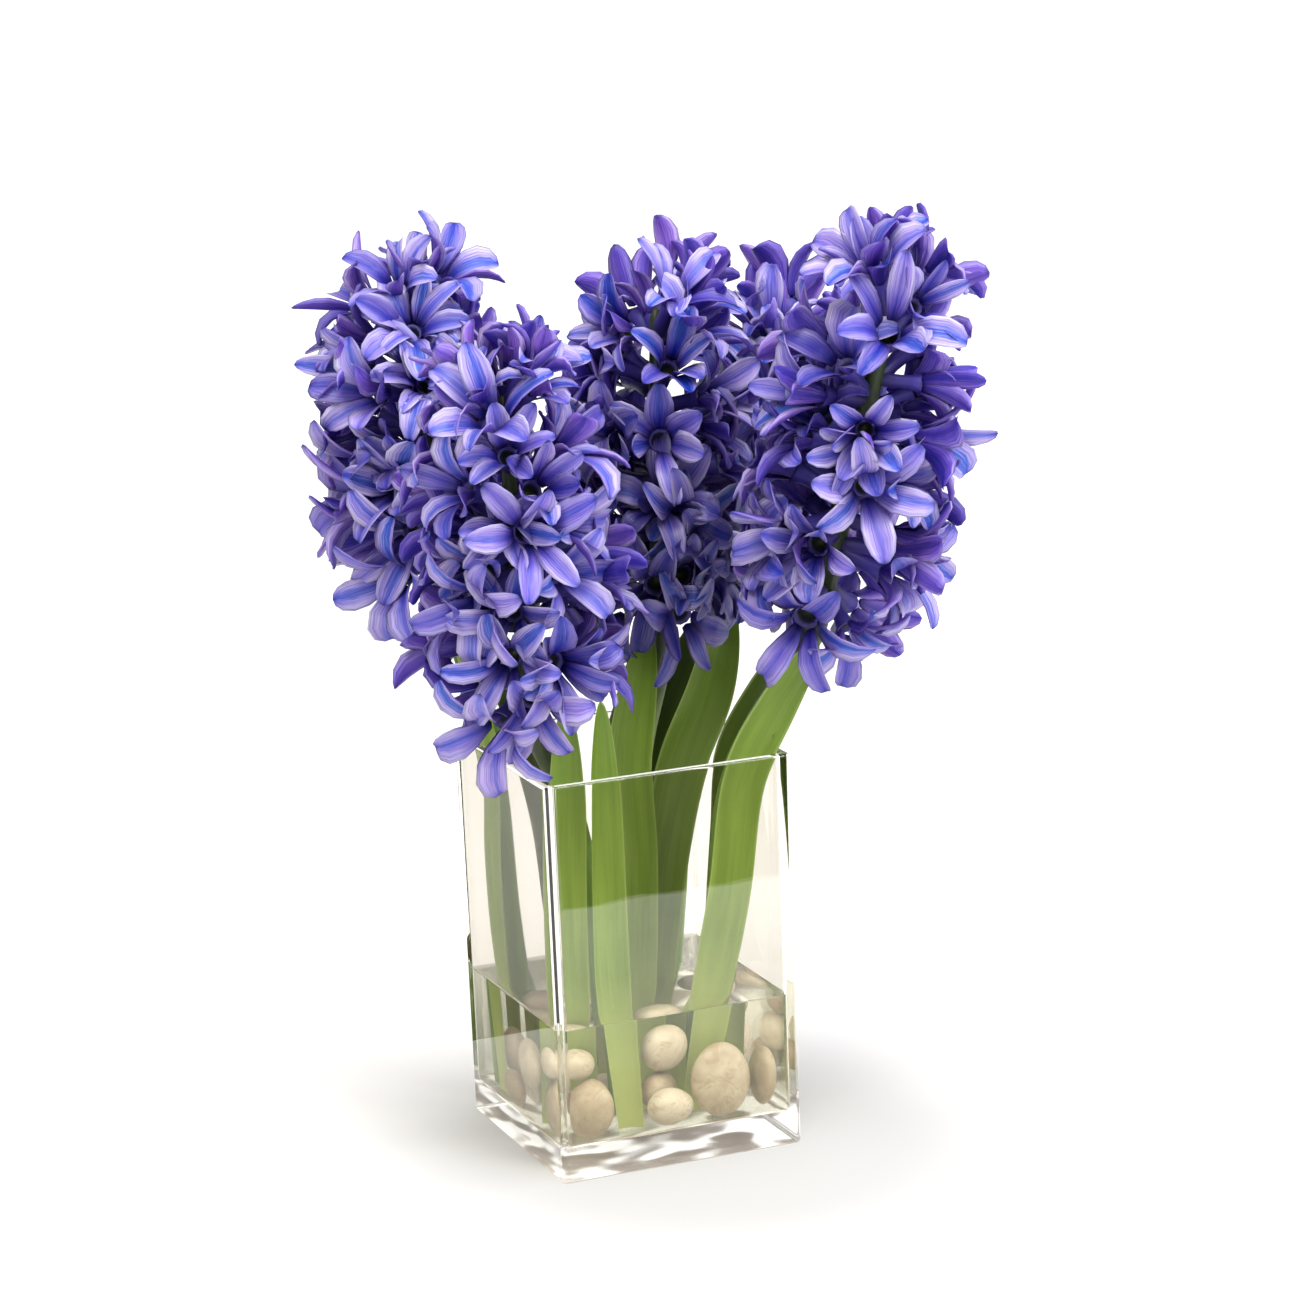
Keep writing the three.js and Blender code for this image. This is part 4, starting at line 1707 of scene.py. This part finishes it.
    def add_floret(self, shape: Shape, k: int, share: float, turn: float) -> None:
        """Adds one floret in its place.

        Args:
            shape: the floret's mesh.
            k: its count.
            share: its share of the way up.
            turn: its turn round the axis.
        """
        seed = FLORET_SEEDS * self.index + k
        scatter = self.scatter
        rise = share * share
        low = max(0.0, 1 - share / self.droop_share)
        upright = mix(self.middle_tilt, self.highest_tilt, rise**self.closing)
        tilt = upright + (self.lowest_tilt - self.middle_tilt) * low + scatter.tilt * wobble(seed, Draw.TILT)
        size = mix(1, self.top_size, rise) * (1 + scatter.size * wobble(seed, Draw.SIZE))
        opened = mix(1, self.top_open, rise) + scatter.opened * wobble(seed, Draw.OPENED)
        if k >= self.florets:
            size *= self.filler_size + scatter.size * wobble(seed, Draw.FILLER_SIZE)
            opened *= self.filler_open + scatter.filler_opened * wobble(seed, Draw.FILLER_OPENED)
            tilt += scatter.tilt * wobble(seed, Draw.FILLER_TILT)
        along = self.plant.along
        radial = square_to(along) @ Vector((math.cos(turn), math.sin(turn), 0))
        aside = along.cross(radial)
        lean = aside * scatter.lean * wobble(seed, Draw.LEAN)
        out = (radial * math.sin(tilt) + along * math.cos(tilt) + lean).normalized()
        roll = Matrix.Rotation(scatter.roll * wobble(seed, Draw.ROLL), 3, out)
        first = roll @ (aside - out * aside.dot(out)).normalized()
        second = out.cross(first)
        climb = self.first_root + share * (self.plant.length - self.first_root - self.last_root)
        root = Vector(self.plant.foot) + along * climb

        def place(x: float, y: float, z: float) -> Vector:
            """Puts a point of the floret in the head."""
            return root + first * (x * size) + second * (y * size) + out * (z * size)

        # painted shade: florets low on the head are darkened, as they sit in the shade of the bouquet
        hidden = smooth(self.shade_rate * (self.shaded_up_to - share) / self.shaded_up_to)
        dark = self.plant.low_florets_painted_shade * hidden
        self.add_tube(shape, seed, dark, place)
        for i in range(self.tepals):
            self.add_tepal(shape, self.draw_tepal(seed, i, opened), dark, place)

    def add_tube(self, shape: Shape, seed: int, dark: float, place: Placer) -> None:
        """Adds a floret's tube: swollen at the root, waisted, flaring to its mouth, and sunk to the throat.

        Args:
            shape: the floret's mesh.
            seed: the floret's number.
            dark: how much painted shade it carries, for its low place in the head.
            place: puts a point of the floret in the head.
        """
        profile = self.tube_profile
        faces = spin_profile(shape, profile, self.tube_sides, HeadSkin.TUBE)
        reach = [0.0]
        for (r0, h0), (r1, h1) in zip(profile, profile[1:]):
            reach.append(reach[-1] + math.hypot(r1 - r0, h1 - h0))
        tint = own_share(seed, Draw.TUBE_TINT)
        for vert in {v for f in faces for v in f.verts}:
            x, y, z = vert.co
            radius = math.hypot(x, y)
            off = [abs(wide - radius) + abs(high - z) for wide, high in profile]
            nearest = off.index(min(off))
            straight = place(x, y, z)
            vert.co = straight.lerp(self.bend(straight), smooth(z / self.tube))
            mark_point(shape, vert, math.sin(math.atan2(y, x)), reach[nearest] / reach[-1], tint, dark)

    def draw_tepal(self, seed: int, i: int, opened: float) -> Tepal:
        """Draws one tepal's own form. Every other tepal is of the outer whorl: lower, and curled more.

        Args:
            seed: the floret's number.
            i: the tepal's count round the tube.
            opened: how far the floret is open.

        Returns:
            The tepal.
        """
        scatter = self.scatter
        outer = 1 if i % 2 == 0 else -1

        def drawn(channel: Draw) -> float:
            """Gives this tepal's draw."""
            return wobble(seed, channel + i)

        longer, more_longer = scatter.length
        curled, more_curled = scatter.curl
        own_tint, floret_tint = scatter.tint
        curl = self.outer_curl * outer + curled * drawn(Draw.CURL) + more_curled * drawn(Draw.MORE_CURL)
        return Tepal(
            root=(self.valley_radius, self.tube),
            angle=i * 2 * math.pi / self.tepals + scatter.angle * drawn(Draw.ANGLE),
            length=self.tepal * (1 + longer * drawn(Draw.LENGTH) + more_longer * drawn(Draw.MORE_LENGTH)),
            flare=(
                self.flare[0] * opened + scatter.flare * drawn(Draw.FLARE),
                min(self.most_curl, self.flare[1] * opened + curl),
            ),
            raised=-self.whorls_apart * outer,
            twist=scatter.twist * drawn(Draw.TWIST),
            sway=scatter.sway * drawn(Draw.SWAY),
            plump=self.tepal_plump + scatter.plump * drawn(Draw.PLUMP),
            tint=0.5 + own_tint * drawn(Draw.TINT) + floret_tint * wobble(seed, Draw.FLORET_TINT),
        )

    def add_tepal(self, shape: Shape, tepal: Tepal, dark: float, place: Placer) -> None:
        """Adds one tepal: a small ball drawn out to its form, and eased clear of the neighbours.

        Args:
            shape: the floret's mesh.
            tepal: its form.
            dark: how much painted shade it carries, for its low place in the head.
            place: puts a point of the floret in the head.
        """
        steps = self.tepal_sides
        verts = bmesh.ops.create_uvsphere(shape, u_segments=steps, v_segments=steps, radius=1.0)["verts"]
        for face in {f for v in verts for f in v.link_faces}:
            upper = face.calc_center_median().y > 0
            face.material_index = (HeadSkin.FACE if upper else HeadSkin.BACK).value
        for vert in verts:
            spot, across, share = tepal.drawn_out(vert.co)
            vert.co = self.bend(place(*spot))
            mark_point(shape, vert, across, share, tepal.tint, dark)


def spin_profile(
    shape: Shape, profile: Sequence[Pair], steps: int, skin: HeadSkin
) -> list[bmesh.types.BMFace]:
    """Spins a line of (radius, height) points round the Z axis into a closed body.

    Args:
        shape: the mesh to add to.
        profile: the points, from axis to axis.
        steps: the sides of the body.
        skin: the body's skin.

    Returns:
        The new faces.
    """
    known = set(shape.faces)
    verts = [shape.verts.new((radius, 0, height)) for radius, height in profile]
    edges = [shape.edges.new(pair) for pair in zip(verts, verts[1:])]
    bmesh.ops.spin(
        shape,
        geom=[*verts, *edges],
        cent=(0, 0, 0),
        axis=(0, 0, 1),
        dvec=(0, 0, 0),
        angle=2 * math.pi,
        steps=steps,
        use_merge=True,
        use_duplicate=False,
    )
    faces = [f for f in shape.faces if f not in known]
    around = list({v for f in faces for v in f.verts})
    bmesh.ops.remove_doubles(shape, verts=around, dist=MERGED_WITHIN)
    faces = [f for f in faces if f.is_valid]
    for face in faces:
        face.material_index = skin.value
    return faces


@dataclass(frozen=True)
class MattPaper(Finish):
    """Matt white paper: faintly fibrous, brighter far off, with a painted shadow round the vase's foot and a
    painted net of caustic light and shade under the vase.

    Places are in metres. A lit ring starts and ends at two distances from the middle and has a strength.
    """

    name: str = "matt_white_paper"
    tone: str = "f6f4f1"
    fibre_mm: float = 3.0
    fibre_depth_mm: float = 0.02
    fibre_strength: float = 0.3
    lit_rings: tuple[Triple, ...] = ((0.12, 0.45, 0.03), (0.45, 2.3, 0.36), (2.2, 6.0, 0.2))
    under_side: float = 0.0475
    under_light: float = 0.62
    net_mm: float = 24.0
    net_stirred: float = 1.1
    net_light: Tones = ((0.0, BLACK), (0.4, "202020"), (0.5, "a0a0a0"), (0.58, WHITE), (1.0, WHITE))
    caustic_shade_tones: Tones = ((0.0, "a89c8c"), (0.42, "c9c0b8"), (0.52, "f6f4f1"), (1.0, "f6f4f1"))
    # painted shadow round the foot: its middle, its reach and its darkest share
    shade_middle: Triple = (0.02, -0.045, 0.0)
    shade_reach: Pair = (0.06, 0.205)
    shade_share: float = 0.55

    def paint(self, tree: Tree) -> Socket:
        """Paints the paper, with a painted net of caustic light and shade under the vase and a painted shadow
        round its foot.

        Args:
            tree: the material's node tree.

        Returns:
            The shader of the surface.
        """
        place = own_place(tree)
        fibre = add_noise(tree, place, self.fibre_mm, detail=2.0)
        net = add_noise(tree, place, self.net_mm, detail=0.0, distortion=self.net_stirred)
        under = self.under(tree, place)
        # painted light: a glowing net under the vase stands in for the light that the glass gathers
        painted_caustic_light = add_sum(tree, "MULTIPLY", add_ramp(tree, net, self.net_light), under)
        # painted shade: the same net's darker lines under the vase
        painted_caustic_shade = add_ramp(tree, net, self.caustic_shade_tones)
        paper = add_node(
            tree,
            "ShaderNodeBsdfPrincipled",
            {
                "Base Color": lay_over(tree, under, self.shaded(tree, place), painted_caustic_shade),
                "Roughness": 0.6,
                "Specular IOR Level": 0.2,
                "Emission Color": linear(WHITE),
                "Emission Strength": add_sum(
                    tree, "MULTIPLY_ADD", painted_caustic_light, self.under_light, self.rings(tree, place)
                ),
                "Normal": add_bump(tree, fibre, self.fibre_depth_mm, self.fibre_strength),
            },
        )
        return paper.outputs["BSDF"]

    def under(self, tree: Tree, place: Socket) -> Socket:
        """Gives 1 under the vase and 0 elsewhere.

        Args:
            tree: the material's node tree.
            place: the place on the floor, in metres.

        Returns:
            The number's socket.
        """
        parts = add_node(tree, "ShaderNodeSeparateXYZ", {0: place}).outputs
        reach = [add_sum(tree, "ABSOLUTE", parts[axis]) for axis in "XY"]
        return add_sum(tree, "LESS_THAN", add_sum(tree, "MAXIMUM", *reach), self.under_side)

    def rings(self, tree: Tree, place: Socket) -> Socket:
        """Gives the strength of the bounced light, which grows away from the middle.

        Args:
            tree: the material's node tree.
            place: the place on the floor, in metres.

        Returns:
            The strength's socket.
        """
        away = add_node(tree, "ShaderNodeVectorMath", {0: place}, operation="LENGTH").outputs["Value"]
        rings = [add_ease(tree, away, (start, end), (0.0, top)) for start, end, top in self.lit_rings]
        return add_sum(tree, "ADD", add_sum(tree, "ADD", *rings[:2]), rings[2])

    def shaded(self, tree: Tree, place: Socket) -> Socket:
        """Gives the paper's tone, with a painted shadow darkening it round the vase's foot.

        Args:
            tree: the material's node tree.
            place: the place on the floor, in metres.

        Returns:
            The colour's socket.
        """
        inputs = {0: place, 1: self.shade_middle}
        away = add_node(tree, "ShaderNodeVectorMath", inputs, operation="DISTANCE").outputs["Value"]
        # painted shadow: the paper's tone darkens towards the vase's foot
        shade = add_ease(tree, away, self.shade_reach, (self.shade_share, 1.0))
        inputs = {0: linear(self.tone)[:3], "Scale": shade}
        return add_node(tree, "ShaderNodeVectorMath", inputs, operation="SCALE").outputs[0]


@dataclass(frozen=True)
class GreyBoard(Finish):
    """Matt dark grey board: dull and even, with a trace of fibre."""

    name: str = "grey_card"
    fibre_mm: float = 4.0
    tones: Tones = ((0.0, "101010"), (1.0, "1c1c1c"))
    roughness: float = 0.9

    def paint(self, tree: Tree) -> Socket:
        """Paints the board on its own coordinates.

        Args:
            tree: the material's node tree.

        Returns:
            The shader of the surface.
        """
        tone = add_ramp(tree, add_noise(tree, own_place(tree), self.fibre_mm, detail=2.0), self.tones)
        inputs = {"Base Color": tone, "Roughness": self.roughness}
        return add_node(tree, "ShaderNodeBsdfPrincipled", inputs).outputs["BSDF"]


@dataclass(frozen=True)
class SoftLamp:
    """A square soft light that looks at the heads: place and side in metres, power in watts."""

    name: str
    place: Triple
    side: float
    power: float
    tone: str = WHITE
    aim: Triple = (0.0, 0.0, 0.2)

    def add(self) -> None:
        """Adds the light."""
        lamp = bpy.data.lights.new(self.name, "AREA")
        lamp.size = self.side
        lamp.energy = self.power
        lamp.color = linear(self.tone)[:3]
        light = bpy.data.objects.new(self.name, lamp)
        turn = (Vector(self.aim) - Vector(self.place)).to_track_quat("-Z", "Y").to_matrix()
        light.matrix_world = Matrix.Translation(self.place) @ turn.to_4x4()
        bpy.context.scene.collection.objects.link(light)


@dataclass(frozen=True)
class GreyCard:
    """A grey card out of view, sized in metres, so that one side of the glass has something dim to mirror."""

    name: str
    place: Triple
    size: Pair
    seen_through_glass: bool

    def add(self) -> None:
        """Adds the card, which neither the camera nor the lamps see."""
        shape = bmesh.new()
        bmesh.ops.create_grid(shape, x_segments=1, y_segments=1, size=0.5)
        pose = Matrix.Translation(self.place) @ Matrix.Rotation(math.pi / 2, 4, "X")
        bmesh.ops.transform(shape, matrix=pose @ Matrix.Diagonal((*self.size, 1, 1)), verts=shape.verts)
        card = mesh_object(self.name, shape, [GreyBoard().material()])
        for kind in ("camera", "diffuse", "volume_scatter", "shadow"):
            setattr(card, f"visible_{kind}", False)
        card.visible_transmission = self.seen_through_glass


@dataclass
class Studio:
    """A plain pale floor, soft light from a big window on the left and above, and the camera."""

    floor_side: float = 24.0
    fittings: tuple[SoftLamp | GreyCard, ...] = (
        SoftLamp("window_light", (-1.35, -1.1, 2.4), 1.2, 42.0, "fffdf8"),
        SoftLamp("top_light", (0.15, -0.95, 2.45), 1.4, 41.0),
        GreyCard("front_grey_card", (0.135, -0.38, 0.036), (0.21, 0.072), seen_through_glass=True),
        GreyCard("side_grey_card", (-0.105, 0.13, 0.08), (0.09, 0.16), seen_through_glass=False),
        SoftLamp("opposite_light", (1.25, -1.7, 1.85), 1.2, 45.0, "f4f6ff"),
        SoftLamp("side_light", (1.9, -0.35, 1.0), 1.0, 14.0),
    )
    room_tone: str = "fbfbfd"
    room_light: float = 0.64
    lens_mm: float = 116.3
    sensor_mm: float = 36.0
    azimuth: float = -21.729
    elevation: float = 13.007
    roll: float = -2.356
    aside_mm: float = 5.5
    up_mm: float = 186.3
    distance_mm: float = 1646.3
    sight_m: float = 60.0

    def build(self) -> None:
        """Builds the floor, the camera, the lights with their cards, and the pale room."""
        self.add_floor()
        self.add_camera()
        for fitting in self.fittings:
            fitting.add()
        self.add_room()

    def add_floor(self) -> None:
        """Adds the floor."""
        shape = bmesh.new()
        bmesh.ops.create_grid(shape, x_segments=1, y_segments=1, size=self.floor_side / 2)
        mesh_object("floor", shape, [MattPaper().material()])

    def add_camera(self) -> None:
        """Adds the camera at the photograph's viewing angle."""
        azimuth, elevation, roll = (math.radians(a) for a in (self.azimuth, self.elevation, self.roll))
        level = math.cos(elevation)
        back = Vector((math.sin(azimuth) * level, -math.cos(azimuth) * level, math.sin(elevation)))
        right = Vector((math.cos(azimuth), math.sin(azimuth), 0))
        up = back.cross(right)
        rolled_right = right * math.cos(roll) + up * math.sin(roll)
        rolled_up = up * math.cos(roll) - right * math.sin(roll)
        place = back * self.distance_mm + rolled_right * self.aside_mm + rolled_up * self.up_mm
        lens = bpy.data.cameras.new("camera")
        lens.lens = self.lens_mm
        lens.sensor_width = self.sensor_mm
        lens.clip_end = self.sight_m
        camera = bpy.data.objects.new("camera", lens)
        turn = Matrix((rolled_right, rolled_up, back)).transposed().to_4x4()
        camera.matrix_world = Matrix.Translation(place * MM) @ turn
        bpy.context.scene.collection.objects.link(camera)
        bpy.context.scene.camera = camera

    def add_room(self) -> None:
        """Adds the pale room's even light, and the plain view of colours."""
        world = bpy.data.worlds.new("pale_room")
        world.use_nodes = True
        background = world.node_tree.nodes["Background"]
        background.inputs["Color"].default_value = linear(self.room_tone)
        background.inputs["Strength"].default_value = self.room_light
        bpy.context.scene.world = world
        bpy.context.scene.view_settings.view_transform = "Standard"
        bpy.context.scene.view_settings.look = "None"


def main() -> None:
    """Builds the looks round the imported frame."""
    logging.basicConfig(level=logging.INFO, format="%(message)s", stream=sys.stdout)
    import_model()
    Studio().build()
    wardrobe = Wardrobe()
    vase = Vase()
    vase.build(wardrobe)
    Water(vase).build(wardrobe)
    PebbleBed().build(wardrobe)
    LeafBlades().build(wardrobe)
    Stalks().build(wardrobe)
    for index, plant in enumerate(PLANTS):
        FlowerHead(plant, index, vase=vase).build(wardrobe)


if __name__ == "__main__":
    main()
